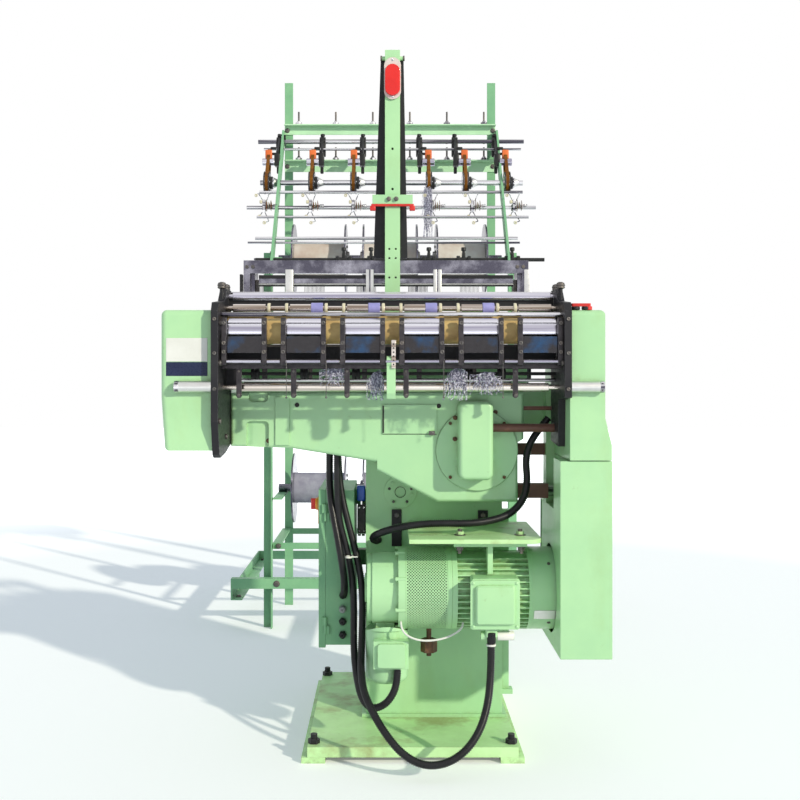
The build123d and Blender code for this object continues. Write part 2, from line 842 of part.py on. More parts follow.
def warp_rods():
    """Rods through the slanted legs: height, radius and both ends."""
    return [
        (hanger_z, hanger_radius, -503, 526),
        (stay_z, stay_radius, -478, 512),
        (1578, 6, -478, 500),
        (1513, 7, -518, 542),
        (1474, 5, -478, 512),
        (1388, 6, -475, 464),
        (1371, 4, -500, 470),
        (lean_z, 6, -471, 550),
    ]


def stand_rods():
    return [rod_x(x0, x1, leg_y(z), z, radius) for z, radius, x0, x1 in warp_rods()]


def stand_base_rails():
    rails = []
    for x0, x1 in ((-stand_outer, -stand_outer + 5), (stand_outer - 5, stand_outer)):
        rail = block(x0, x1, front_post_y - 34, stand_back, 109, 149)
        inner = (x1, x1 + 35) if x0 < 0 else (x0 - 35, x0)
        rail += block(*inner, front_post_y - 34, stand_back, 109, 114)
        rails.append(rail)
        rails.append(block(x0, x1, stand_back - 40, stand_back, 0, 109))
    return rails


def stand_cross_rails():
    y = front_post_y
    rails = [block(-stand_outer, stand_outer, y - 34, y, 149, 184)]
    inside = (sides[0][1], sides[1][1])
    rails.append(block(*inside, y + angle_leg, y + angle_leg + 5, 278, 300))
    rails.append(block(sides[0][1] + leg_plate, sides[1][1] - leg_plate, rear_post_y - 5, rear_post_y, 278, 300))
    rails.append(block(-stand_outer + 5, stand_outer - 5, stand_back - 5, stand_back, 114, 149))
    return rails


def stand_side_rails():
    rails = []
    for side, x in sides:
        for top in (beam_upper_z - beam_shaft, beam_lower_z - beam_shaft, 300):
            x0, x1 = sorted((x, x - side * angle_leg))
            y0, y1 = front_post_y + angle_leg, rear_post_y
            if top == 300:
                y0, y1 = y0 + 5, y1 - 5
            rails.append(block(x0, x1, y0, y1, top - 6, top))
    return rails


def tie_bars():
    """Square bars that tie the stand to the loom's column."""
    return [block(x, x + 35, column_back, front_post_y - 34, 149, 184) for x in (column_left + 20, column_right - 55)]


cross_bar_spans = ((1836, 1872), (1691, 1734))
cross_bar_depth = 30


def stand_cross_bars():
    bars = []
    x0, x1 = sides[0][1] + leg_plate, sides[1][1] - leg_plate
    for z0, z1 in cross_bar_spans:
        bar = block(x0, x1, rear_post_y - angle_wall, rear_post_y, z0, z1)
        bars.append(bar + block(x0, x1, rear_post_y - cross_bar_depth, rear_post_y - angle_wall, z1 - angle_wall, z1))
    return bars


def tension_pins():
    """An upright pin with its nut for each head, on both cross bars."""
    pins = []
    for _, top in cross_bar_spans:
        for n in range(head_count):
            x = stand_middle + 5 + 144 * (n - (head_count - 1) / 2)
            y = rear_post_y - cross_bar_depth + 14
            pins.append(rod_z(top, top + 50, x, y, 3.5) + rod_z(top, top + 8, x, y, 12))
    return pins


parts["stand_posts"] = stand_front_posts() + stand_rear_posts()
parts["stand_legs"] = stand_legs()
parts["stand_rods"] = stand_rods()
parts["stand_rails"] = stand_base_rails() + stand_cross_rails() + stand_side_rails() + tie_bars()
parts["stand_cross_bars"] = stand_cross_bars()
parts["tension_pins"] = tension_pins()


def beam_row(z, barrel):
    """Three warp beams on one shaft: a barrel round it, with a flange pressed on each end."""
    pieces = [rod_x(sides[0][1], sides[1][1], beam_y, z, beam_shaft)]
    for x0, x1 in ((-355, -155), (-94, 110), (178, 366)):
        tube = rod_x(x0, x1, beam_y, z, barrel)
        pieces.append(tube - rod_x(x0 - 1, x1 + 1, beam_y, z, beam_shaft))
        for x in (x0, x1 - flange_thickness):
            flange = rod_x(x, x + flange_thickness, beam_y, z, flange_radius)
            pieces.append(flange - rod_x(x - 1, x + flange_thickness + 1, beam_y, z, barrel))
    return pieces


parts["upper_warp_beams"] = beam_row(beam_upper_z, 62)
parts["lower_warp_beams"] = beam_row(beam_lower_z, 56)


def feed_shaft():
    y = leg_y(feeder_z)
    body = rod_x(-478, 504, y, feeder_z, feed_radius)
    for x in belt_places:
        body += rod_x(x - 8, x + 8, y, feeder_z, wheel_hub)
        for rim in (x - 11, x + 8):
            body += rod_x(rim, rim + 3, y, feeder_z, wheel_radius)
        body += rod_x(x + 11, x + 26, y, feeder_z, 20)
    return body


def feed_belts():
    belts = []
    hub, roller = wheel_hub + 0.3, belt_roller_radius
    for x in belt_places:
        loops = []
        for more, half in ((belt_depth, 6), (0, 7)):
            wheel = (leg_y(feeder_z), feeder_z, hub + more)
            top = (feeder_top_y, belt_roller_z, roller + more)
            loops.append(loop_yz(wheel, top, x - half, x + half))
        belts.append(loops[0] - loops[1])
    return belts


def feeder_brackets():
    brackets = []
    y = leg_y(hanger_z)
    for x, belt_x in zip(feeder_places, belt_places):
        x0, x1 = x - 4, x + 4
        arm = loop_yz((y, hanger_z, 17), (feeder_top_y, belt_roller_z, 14), x0, x1)
        arm += loop_yz((y, hanger_z, 12), (y + 12, hanger_z + 22, 8), x - 8, x1)
        arm += loop_yz((feeder_top_y, belt_roller_z, 9), (y - 40, feeder_z + 68, 7), x0, x1)
        arm += rod_x(*sorted((x, belt_x)), feeder_top_y, belt_roller_z, pin_radius)
        arm += rod_x(belt_x - 7, belt_x + 7, feeder_top_y, belt_roller_z, belt_roller_radius - 0.3)
        arm -= rod_x(x - 20, x + 20, y, hanger_z, hanger_radius)
        brackets.append(arm - rod_x(x - 20, x + 20, leg_y(stay_z), stay_z, stay_radius))
    return brackets


parts["feed_shaft"] = feed_shaft()
parts["feed_belts"] = feed_belts()
parts["feeder_brackets"] = feeder_brackets()


# Control cabinet
hinge_x, hinge_y = cabinet_left - 0.2, cabinet_front - 4.4
hinge_heights = (256, 538)


def control_cabinet():
    body = block(cabinet_left, cabinet_right, cabinet_front, cabinet_back, cabinet_bottom, cabinet_top)
    w = 2
    body -= block(
        cabinet_left - 1,
        cabinet_right - w,
        cabinet_front + w,
        cabinet_back - w,
        cabinet_bottom + w,
        cabinet_top - w,
    )
    for z in (318, 287, 254):
        body += rod_y(cabinet_front - 4, cabinet_front, -113, z, 6)
    body += block(cabinet_right, column_left, -640, -610, 400, 440)
    body += block(cabinet_right, column_left, -640, -610, 560, 600)
    for z in hinge_heights:
        body += rod_z(z, z + 20, hinge_x, hinge_y, 4)
        body += rod_z(z + 20, z + 42, hinge_x, hinge_y, 2)
        body += block(hinge_x, hinge_x + 10, hinge_y - 2, cabinet_front, z, z + 20)
    return body


def cabinet_door():
    x1 = cabinet_left - 0.4
    body = block(x1 - door_thickness, x1, cabinet_front, cabinet_back, cabinet_bottom - 7, cabinet_top + 2)
    w = 2
    body -= block(
        x1 - door_thickness + w, x1 + 1, cabinet_front + w, cabinet_back - w, cabinet_bottom - 5, cabinet_top
    )
    for z in hinge_heights:
        knuckle = rod_z(z + 20.3, z + 42, hinge_x, hinge_y, 4)
        knuckle += block(hinge_x - 8, hinge_x, hinge_y - 2, cabinet_front, z + 20.3, z + 42)
        body += knuckle - rod_z(z + 20, z + 43, hinge_x, hinge_y, 2 + running)
    out = x1 - door_thickness
    return body + block(out - 4, out, *switch_span, 548, 596)


switch_span = (-750, -702)


def main_switch():
    x1 = cabinet_left - 0.4 - door_thickness - 4.3
    knob = rod_x(x1 - 8, x1, sum(switch_span) / 2, 572, 16)
    return knob + block(x1 - 20, x1 - 8, sum(switch_span) / 2 - 4, sum(switch_span) / 2 + 4, 558, 586)


def oil_pump():
    body = block(column_left - 22, column_left, -758, -730, 500, 572)
    body = fillet(body.edges().filter_by(Axis.Z), 3)
    cap = block(column_left - 23, column_left - 2, -757, -733, 582, 621)
    cap = fillet(cap.edges().filter_by(Axis.Z), 4)
    return body + rod_z(572, 582, column_left - 12, -745, 7) + cap


parts["control_cabinet"] = control_cabinet()
parts["cabinet_door"] = cabinet_door()
parts["main_switch"] = main_switch()
parts["oil_pump"] = oil_pump()


# Conduits and the motor's thin lead: straight runs joined by arcs
conduit_radius, lead_radius = 9.5, 2.5
routes = {
    "conduit_head": [
        (plate_right_inner - 7.5, -905, 800),
        (363, -906, 773),
        (339, -909, 738),
        (329, -914, 698),
        (333, -924, 652),
        (323, -938, 608),
        (288, -955, 574),
        (240, -970, 561),
        (188, -984, 557),
        (132, -990, 559),
        (77, -986, 556),
        (24, -968, 546),
        (-19, -932, 528),
        (-38, -880, 509),
        (-34, -828, 494),
        (-27, -790, 487),
        (-24, column_front - 1.8, 485),
    ],
    "conduit_motor": [
        (236, gland_y, gland_z - 10.4),
        (236, -1028, 262),
        (234, -1036, 216),
        (227, -1054, 161),
        (208, -1079, 108),
        (173, -1101, 66),
        (126, -1114, 42),
        (75, -1117, 41),
        (30, -1108, 64),
        (-6, -1086, 101),
        (-35, -1052, 138),
        (-57, -1008, 173),
        (-71, -960, 210),
        (-77, -914, 255),
        (-78, -882, 308),
        (-78, -866, 364),
        (-80, -858, 422),
        (-87, -852, 480),
        (-99, -847, 536),
        (-111, -842, 590),
        (-119, -837, 640),
        (-122, -834, 677),
        (-123, -833, 707),
    ],
    "conduit_inching": [
        (22, -969, 216.7),
        (22, -969.5, 192),
        (14, -978, 160),
        (-8, -984, 133),
        (-40, -978, 122),
        (-68, -958, 142),
        (-84, -934, 182),
        (-96, -908, 226),
        (-101, -885, 274),
        (-102, -869, 326),
        (-102, -863, 380),
        (-105, -859, 434),
        (-112, -856, 488),
        (-119, -857, 542),
        (-123, -861, 594),
        (-124, -862, 642),
        (-124, -862, 678),
        (-124, -861, 707.4),
    ],
    "conduit_cabinet": [
        (-144, -838, 711.4),
        (-144, -838.5, 681),
        (-144, -840, 640),
        (-142, -843, 592),
        (-140, -846, 546),
        (-138, -850, 500),
        (-134, -855, 456),
        (-128, -857, 414),
        (-120, -849, 380),
        (-115, -829, 359),
        (-113, cabinet_front - 3, 352),
    ],
    "motor_lead": [
        (30, -980.7, 327.3),
        (30, -992.3, 316.4),
        (42, -1000, 300),
        (70, -1003, 289),
        (106, -1002, 288.5),
        (142, -998, 296),
        (175, -989.4, 314.6),
        (175, -978.8, 325.2),
    ],
}


def corner_radii(points):
    """As large an arc at each corner as its two runs allow."""
    radii = []
    for a, b, c in zip(points, points[1:], points[2:]):
        first, second = Vector(*b) - Vector(*a), Vector(*c) - Vector(*b)
        turn = math.radians(first.get_angle(second))
        radii.append(0.45 * min(first.length, second.length) / math.tan(turn / 2))
    return radii


def tube(points, radius):
    path = FilletPolyline(*points, radius=corner_radii(points))
    start = Plane(origin=path @ 0, z_dir=path % 0)
    return sweep(start * Circle(radius), path=path), path.length


for name, points in routes.items():
    radius = lead_radius if name == "motor_lead" else conduit_radius
    parts[name], length = tube(points, radius)
    share = parts[name].volume / (math.pi * radius**2 * length)
    print(name, "length", round(length), "volume share", round(share, 4), "least radius", round(min(corner_radii(points))))

os.makedirs("parts", exist_ok=True)
for name, shape in parts.items():
    solids = shape if isinstance(shape, list) else [shape]
    solids = [s for item in solids for s in item.solids()]
    model = solids[0] if len(solids) == 1 else Compound(children=solids)
    export_step(model, f"parts/{name}.step")
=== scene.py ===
import math
import random

import bmesh
import bpy
from mathutils import Matrix, Vector


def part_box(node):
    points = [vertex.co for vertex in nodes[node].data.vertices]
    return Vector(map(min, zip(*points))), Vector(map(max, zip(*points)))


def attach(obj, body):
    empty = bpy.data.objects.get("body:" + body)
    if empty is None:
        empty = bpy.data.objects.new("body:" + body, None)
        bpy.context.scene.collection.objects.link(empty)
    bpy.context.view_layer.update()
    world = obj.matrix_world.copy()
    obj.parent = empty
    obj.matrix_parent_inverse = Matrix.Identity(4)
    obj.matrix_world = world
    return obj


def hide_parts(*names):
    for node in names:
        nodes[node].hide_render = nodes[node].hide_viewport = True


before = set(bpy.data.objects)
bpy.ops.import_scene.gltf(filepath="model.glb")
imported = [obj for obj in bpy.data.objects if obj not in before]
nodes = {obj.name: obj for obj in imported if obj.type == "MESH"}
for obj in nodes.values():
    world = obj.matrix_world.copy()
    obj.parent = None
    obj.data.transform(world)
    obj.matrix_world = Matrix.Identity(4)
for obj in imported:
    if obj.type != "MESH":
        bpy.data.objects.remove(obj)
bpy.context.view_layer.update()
random.seed(7)

# Studio: the camera stands 3.5 m in front of the origin, at the height of the cloth rollers
camera = {"place": (0.0, -3.5, 0.91), "lens": 48.6, "shift": (0.015, -0.035)}
sun = {"travel": (-0.66, 0.64, -0.39), "strength": 3.0, "angle": 0.03, "colour": (1.0, 0.955, 0.77)}
sky = {"fill": (0.8, 0.93, 1.0), "strength": 0.58, "seen": (1.0, 1.0, 1.0)}
floorLook = {"half": 14.0, "colour": (0.95, 0.95, 0.99), "glow": 0.15, "fade": (2.4, 5.2)}


def link(thing):
    bpy.context.scene.collection.objects.link(thing)
    return thing


def emptyTree(owner):
    owner.use_nodes = True
    owner.node_tree.nodes.clear()
    return owner.node_tree


def addNode(tree, kind, given=(), **settings):  # given: a value or another node's socket for each input
    made = tree.nodes.new("ShaderNode" + kind)
    for name, value in settings.items():
        setattr(made, name, value)
    for name, value in dict(given).items():
        if isinstance(value, bpy.types.NodeSocket):
            tree.links.new(value, made.inputs[name])
        else:
            made.inputs[name].default_value = value
    return made


def calc(tree, operation, first, second, clamp=False):
    return addNode(tree, "Math", {0: first, 1: second}, operation=operation, use_clamp=clamp).outputs[0]


def spread(tree, value, low, high, toLow=0.0, toHigh=1.0):
    given = {"Value": value, "From Min": low, "From Max": high, "To Min": toLow, "To Max": toHigh}
    return addNode(tree, "MapRange", given).outputs["Result"]


def seenDirectly(tree):  # 1 for rays that reach the eye, straight or by way of metal and glass
    path = addNode(tree, "LightPath").outputs
    first = calc(tree, "MAXIMUM", path["Is Camera Ray"], path["Is Glossy Ray"])
    return calc(tree, "MAXIMUM", first, path["Is Transmission Ray"])


def buildCamera():
    data = bpy.data.cameras.new("photoCamera")
    data.lens, data.sensor_width, data.clip_end = camera["lens"], 36.0, 100.0
    data.shift_x, data.shift_y = camera["shift"]
    eye = link(bpy.data.objects.new("photoCamera", data))
    eye.location = camera["place"]
    eye.rotation_euler = (math.radians(90), 0, 0)
    bpy.context.scene.camera = eye


def buildSky():
    world = bpy.data.worlds.new("studioSky")
    bpy.context.scene.world = world
    tree = emptyTree(world)
    fill = addNode(tree, "Background", {"Color": (*sky["fill"], 1), "Strength": sky["strength"]})
    seen = addNode(tree, "Background", {"Color": (*sky["seen"], 1)})
    mix = addNode(tree, "MixShader", {0: seenDirectly(tree), 1: fill.outputs[0], 2: seen.outputs[0]})
    addNode(tree, "OutputWorld", {"Surface": mix.outputs[0]})


def buildSun():
    data = bpy.data.lights.new("sun", "SUN")
    data.energy, data.angle, data.color = sun["strength"], sun["angle"], sun["colour"]
    lamp = link(bpy.data.objects.new("sun", data))
    lamp.rotation_euler = Vector(sun["travel"]).to_track_quat("-Z", "Y").to_euler()


def buildFloor():  # matte, and paler the further away it is
    material = bpy.data.materials.new("paleFloor")
    tree = emptyTree(material)
    place = addNode(tree, "TexCoord").outputs["Object"]
    away = addNode(tree, "VectorMath", {0: place}, operation="LENGTH").outputs["Value"]
    paler = spread(tree, away, *floorLook["fade"], floorLook["glow"])
    glow = addNode(tree, "Emission", {"Strength": calc(tree, "MULTIPLY", seenDirectly(tree), paler)})
    matte = addNode(tree, "BsdfDiffuse", {"Color": (*floorLook["colour"], 1)})
    both = addNode(tree, "AddShader", {0: matte.outputs[0], 1: glow.outputs[0]})
    addNode(tree, "OutputMaterial", {"Surface": both.outputs[0]})
    bm = bmesh.new()
    bmesh.ops.create_grid(bm, x_segments=1, y_segments=1, size=floorLook["half"])
    mesh = bpy.data.meshes.new("studioFloor")
    bm.to_mesh(mesh)
    bm.free()
    mesh.materials.append(material)
    floor = link(bpy.data.objects.new("studioFloor", mesh))


buildCamera()
buildSky()
buildSun()
buildFloor()
bpy.context.scene.view_settings.view_transform = "Standard"
print("studio ready")

# Finishes: colour, second colour and its spots per metre, roughness from and to, grain (bump spots per metre,
# depth, stretch), grime and painted shade in corners (colour, reach in metres, share), wear and painted
# highlight (colour on edges, share), and what some add
finishLooks = {
    "greenPaint": (
        (0.43, 0.71, 0.39), (0.385, 0.66, 0.37), 7, (0.32, 0.5), (420, 0.00012),
        ((0.2, 0.27, 0.07), 0.03, 0.65), ((0.62, 0.82, 0.5), 0.5),
        {"coat": 0.25, "stain": ((0.33, 0.46, 0.14), 5, 0.22, (1.6, 1.6, 0.8))},
    ),
    "basePaint": (
        (0.57, 0.87, 0.44), (0.46, 0.71, 0.34), 9, (0.36, 0.58), (380, 0.00016),
        ((0.13, 0.09, 0.03), 0.05, 0.9), ((0.4, 0.36, 0.2), 0.8),
        {"coat": 0.1, "stain": ((0.25, 0.2, 0.06), 9, 0.62, (1, 1, 1))},
    ),
    # The stand's one paint in two copies: this darker one for most of the stand is painted shade
    "shadedStandPaint": (
        (0.25, 0.5, 0.28), (0.19, 0.42, 0.24), 9, (0.38, 0.55),
        (420, 0.00012), ((0.1, 0.14, 0.06), 0.03, 0.5),
        ((0.4, 0.62, 0.38), 0.4), {"shine": 0.3},
    ),
    "blackPaint": (
        (0.01, 0.01, 0.014), (0.019, 0.018, 0.022), 14, (0.34, 0.55), (600, 0.0002),
        ((0.05, 0.038, 0.028), 0.015, 0.35), ((0.16, 0.16, 0.18), 0.8), {"shine": 0.28},
    ),
    # Bright, drum and bronze steel: the second colour, stretched along x, paints lengthwise streaks on rods
    # and rollers, a painted reflection
    "brightSteel": (
        (0.78, 0.77, 0.8), (0.085, 0.08, 0.105), 100, (0.12, 0.22), (300, 1e-05, (1, 0.2, 0.2)),
        ((0.16, 0.12, 0.09), 0.012, 0.5), ((0.85, 0.85, 0.86), 0.4),
        {"metal": 1, "reflectionStreaks": (0.015, 1, 1), "between": (0.42, 0.6)},
    ),
    "drumSteel": (
        (0.82, 0.81, 0.87), (0.38, 0.36, 0.46), 42, (0.12, 0.22), (300, 1e-05, (1, 0.2, 0.2)),
        ((0.16, 0.12, 0.09), 0.012, 0.4), ((0.9, 0.9, 0.92), 0.4),
        {"metal": 1, "reflectionStreaks": (0.015, 1, 1), "between": (0.42, 0.6)},
    ),
    "bronzeSteel": (
        (0.8, 0.74, 0.68), (0.27, 0.21, 0.17), 60, (0.12, 0.22), (300, 1e-05, (1, 0.2, 0.2)),
        ((0.12, 0.08, 0.05), 0.012, 0.5), ((0.88, 0.85, 0.82), 0.4),
        {"metal": 1, "reflectionStreaks": (0.015, 1, 1), "between": (0.42, 0.62)},
    ),
    "armSteel": (
        (0.062, 0.055, 0.06), (0.03, 0.027, 0.032), 60, (0.26, 0.42), (700, 0.0001),
        ((0.02, 0.014, 0.012), 0.01, 0.6), ((0.3, 0.28, 0.29), 0.7), {"metal": 0.7},
    ),
    # Paler copy of the stand's paint for the cross bars: painted light
    "litStandPaint": (
        (0.56, 0.84, 0.56), (0.48, 0.76, 0.49), 9, (0.38, 0.55), (420, 0.00012),
        ((0.24, 0.34, 0.16), 0.02, 0.5), ((0.72, 0.9, 0.68), 0.4), {"shine": 0.3},
    ),
    "darkSteel": (
        (0.085, 0.082, 0.085), (0.15, 0.13, 0.12), 16, (0.34, 0.55), (700, 0.00012),
        ((0.05, 0.03, 0.02), 0.012, 0.5), ((0.4, 0.39, 0.38), 0.6), {"metal": 0.8},
    ),
    "aluminium": (
        (0.74, 0.74, 0.73), (0.62, 0.62, 0.61), 12, (0.26, 0.42), (800, 8e-05, (0.06, 1, 1)),
        ((0.2, 0.18, 0.15), 0.012, 0.4), ((0.9, 0.9, 0.9), 0.3), {"metal": 1},
    ),
    "brownPrimer": (
        (0.17, 0.07, 0.045), (0.11, 0.045, 0.03), 18, (0.42, 0.62), (500, 0.00018),
        ((0.03, 0.02, 0.015), 0.02, 0.5), ((0.3, 0.17, 0.11), 0.5),
    ),
    "tanLeather": (
        (0.6, 0.42, 0.17), (0.46, 0.29, 0.11), 30, (0.5, 0.7), (1400, 0.00022),
        ((0.12, 0.07, 0.03), 0.012, 0.6), ((0.6, 0.45, 0.24), 0.4),
    ),
    "redLens": (
        (0.83, 0.02, 0.014), (0.7, 0.012, 0.01), 20, (0.1, 0.2), (160, 0.0001),
        ((0.35, 0.01, 0.01), 0.01, 0.3), ((0.95, 0.25, 0.2), 0.3),
    ),
    "redPlastic": (
        (0.72, 0.028, 0.02), (0.58, 0.02, 0.016), 20, (0.3, 0.45), (500, 0.0001),
        ((0.2, 0.02, 0.01), 0.01, 0.3), ((0.85, 0.22, 0.15), 0.3),
    ),
    "amberPlastic": (
        (0.88, 0.34, 0.02), (0.8, 0.28, 0.015), 20, (0.3, 0.45),
        (500, 0.0001), ((0.3, 0.12, 0.02), 0.01, 0.3),
        ((0.95, 0.55, 0.15), 0.3),
    ),
    "orangePlastic": (
        (0.8, 0.17, 0.035), (0.64, 0.12, 0.025), 20, (0.3, 0.45),
        (500, 0.0001), ((0.3, 0.1, 0.02), 0.01, 0.3),
        ((0.9, 0.45, 0.12), 0.3),
    ),
    "blackPlastic": (
        (0.014, 0.014, 0.016), (0.024, 0.024, 0.026), 30, (0.3, 0.48), (700, 0.00014),
        ((0.05, 0.04, 0.035), 0.012, 0.3), ((0.09, 0.09, 0.1), 0.5), {"shine": 0.25},
    ),
    "creamPlastic": (
        (0.72, 0.66, 0.5), (0.62, 0.55, 0.4), 30, (0.34, 0.5), (600, 0.0001), ((0.3, 0.24, 0.15), 0.01, 0.5),
        ((0.85, 0.8, 0.68), 0.3),
    ),
    "whitePlastic": (
        (0.78, 0.77, 0.75), (0.7, 0.69, 0.66), 18, (0.34, 0.5), (600, 8e-05), ((0.4, 0.37, 0.32), 0.01, 0.4),
        ((0.88, 0.88, 0.87), 0.3),
    ),
    "lilacTape": (
        (0.34, 0.32, 0.66), (0.26, 0.25, 0.56), 60, (0.45, 0.6), (1500, 0.00015),
        ((0.15, 0.13, 0.25), 0.01, 0.4), ((0.5, 0.48, 0.75), 0.3),
    ),
    "bluePlastic": (
        (0.02, 0.1, 0.55), (0.015, 0.07, 0.42), 25, (0.25, 0.4), (500, 0.0001),
        ((0.01, 0.03, 0.12), 0.01, 0.3), ((0.2, 0.3, 0.75), 0.3),
    ),
    "lilacSteel": (
        (0.105, 0.1, 0.135), (0.4, 0.39, 0.46), 20, (0.16, 0.3), (300, 2e-05, (0.3, 1, 1)),
        ((0.1, 0.08, 0.07), 0.012, 0.5), ((0.75, 0.75, 0.78), 0.4), {"metal": 0.9, "between": (0.46, 0.72)},
    ),
    "blueSteel": (
        (0.055, 0.052, 0.056), (0.04, 0.095, 0.2), 12, (0.12, 0.26), (900, 6e-05, (0.1, 1, 1)),
        ((0.03, 0.02, 0.015), 0.008, 0.5), ((0.45, 0.44, 0.46), 0.5), {"metal": 0.9, "between": (0.5, 0.66)},
    ),
    "rustySteel": (
        (0.17, 0.075, 0.035), (0.085, 0.05, 0.035), 120, (0.55, 0.8), (1500, 0.00025),
        ((0.03, 0.02, 0.012), 0.006, 0.6), ((0.38, 0.28, 0.2), 0.5), {"metal": 0.3},
    ),
    "brownGlaze": (
        (0.2, 0.075, 0.035), (0.13, 0.045, 0.022), 60, (0.14, 0.28), (500, 5e-05),
        ((0.05, 0.03, 0.02), 0.006, 0.3), ((0.45, 0.26, 0.14), 0.4), {"coat": 0.5},
    ),
    # Near-black: painted shade in holes, slots and behind the perforation, and the dark joint lines
    "holeShadeAndJoints": (
        (0.008, 0.008, 0.009), (0.014, 0.013, 0.012), 60, (0.6, 0.8), (900, 0.0001),
        ((0.004, 0.004, 0.004), 0.01, 0.5), ((0.02, 0.02, 0.02), 0.2),
    ),
    "whiteThread": (
        (0.82, 0.8, 0.93), (0.13, 0.12, 0.21), 240, (0.7, 0.9), (2200, 0.0001),
        ((0.3, 0.28, 0.34), 0.002, 0.2), ((0.85, 0.85, 0.88), 0.2),
        {"between": (0.44, 0.54), "soften": 0.0001},
    ),
    "navyPlate": (
        (0.012, 0.018, 0.055), (0.018, 0.026, 0.075), 25, (0.22, 0.36), (500, 6e-05),
        ((0.04, 0.04, 0.05), 0.008, 0.3), ((0.15, 0.17, 0.25), 0.4), {"shine": 0.25},
    ),
    "greyPlastic": (
        (0.3, 0.31, 0.32), (0.24, 0.25, 0.26), 40, (0.35, 0.5), (700, 0.0001),
        ((0.08, 0.07, 0.06), 0.008, 0.4), ((0.5, 0.5, 0.51), 0.4),
    ),
    "pinkPlastic": (
        (0.74, 0.66, 0.64), (0.6, 0.5, 0.48), 25, (0.3, 0.45), (500, 0.0001), ((0.35, 0.12, 0.1), 0.01, 0.5),
        ((0.92, 0.75, 0.72), 0.4),
    ),
    "yarnWound": (
        (0.74, 0.7, 0.67), (0.55, 0.43, 0.38), 8, (0.75, 0.95), (2600, 0.0004, (1, 0.06, 0.06)),
        ((0.05, 0.04, 0.03), 0.01, 0.4), ((0.6, 0.55, 0.45), 0.2),
    ),
    "greyYarn": (
        (0.36, 0.35, 0.44), (0.26, 0.25, 0.34), 30, (0.75, 0.95), (2600, 0.0004, (1, 0.06, 0.06)),
        ((0.08, 0.07, 0.1), 0.01, 0.4), ((0.6, 0.6, 0.66), 0.2),
    ),
    "amberBelt": (
        (0.22, 0.08, 0.004), (0.11, 0.036, 0.003), 50, (0.35, 0.55), (1200, 0.00012),
        ((0.1, 0.04, 0.01), 0.01, 0.4), ((0.6, 0.32, 0.08), 0.4), {"shine": 0.2},
    ),
    "blackRubber": (
        (0.013, 0.013, 0.014), (0.024, 0.024, 0.025), 30, (0.45, 0.65), (900, 0.00012),
        ((0.06, 0.055, 0.05), 0.008, 0.3), ((0.06, 0.06, 0.065), 0.5), {"shine": 0.25},
    ),
    "conduitSkin": (
        (0.008, 0.008, 0.01), (0.015, 0.015, 0.018), 25, (0.24, 0.4), (700, 0.0001),
        ((0.09, 0.085, 0.08), 0.006, 0.35), ((0.1, 0.1, 0.11), 0.5), {"shine": 0.25},
    ),
}


def mixColour(tree, share, first, second):
    made = addNode(tree, "Mix", data_type="RGBA")
    for socket, value in (("Factor_Float", share), ("A_Color", first), ("B_Color", second)):
        target = next(i for i in made.inputs if i.identifier == socket)
        if isinstance(value, bpy.types.NodeSocket):
            tree.links.new(value, target)
        else:
            target.default_value = (*value, 1)
    return next(o for o in made.outputs if o.identifier == "Result_Color")


def cloud(tree, place, spots, detail=4.0, stretch=(1, 1, 1), shift=0.0):  # soft noise, spots per metre
    given = {"Location": (shift, shift * 0.7, shift * 0.3), "Scale": stretch, "Vector": place}
    moved = addNode(tree, "Mapping", given).outputs[0]
    given = {"Scale": spots, "Detail": detail, "Roughness": 0.6, "Vector": moved}
    return addNode(tree, "TexNoise", given).outputs["Fac"]


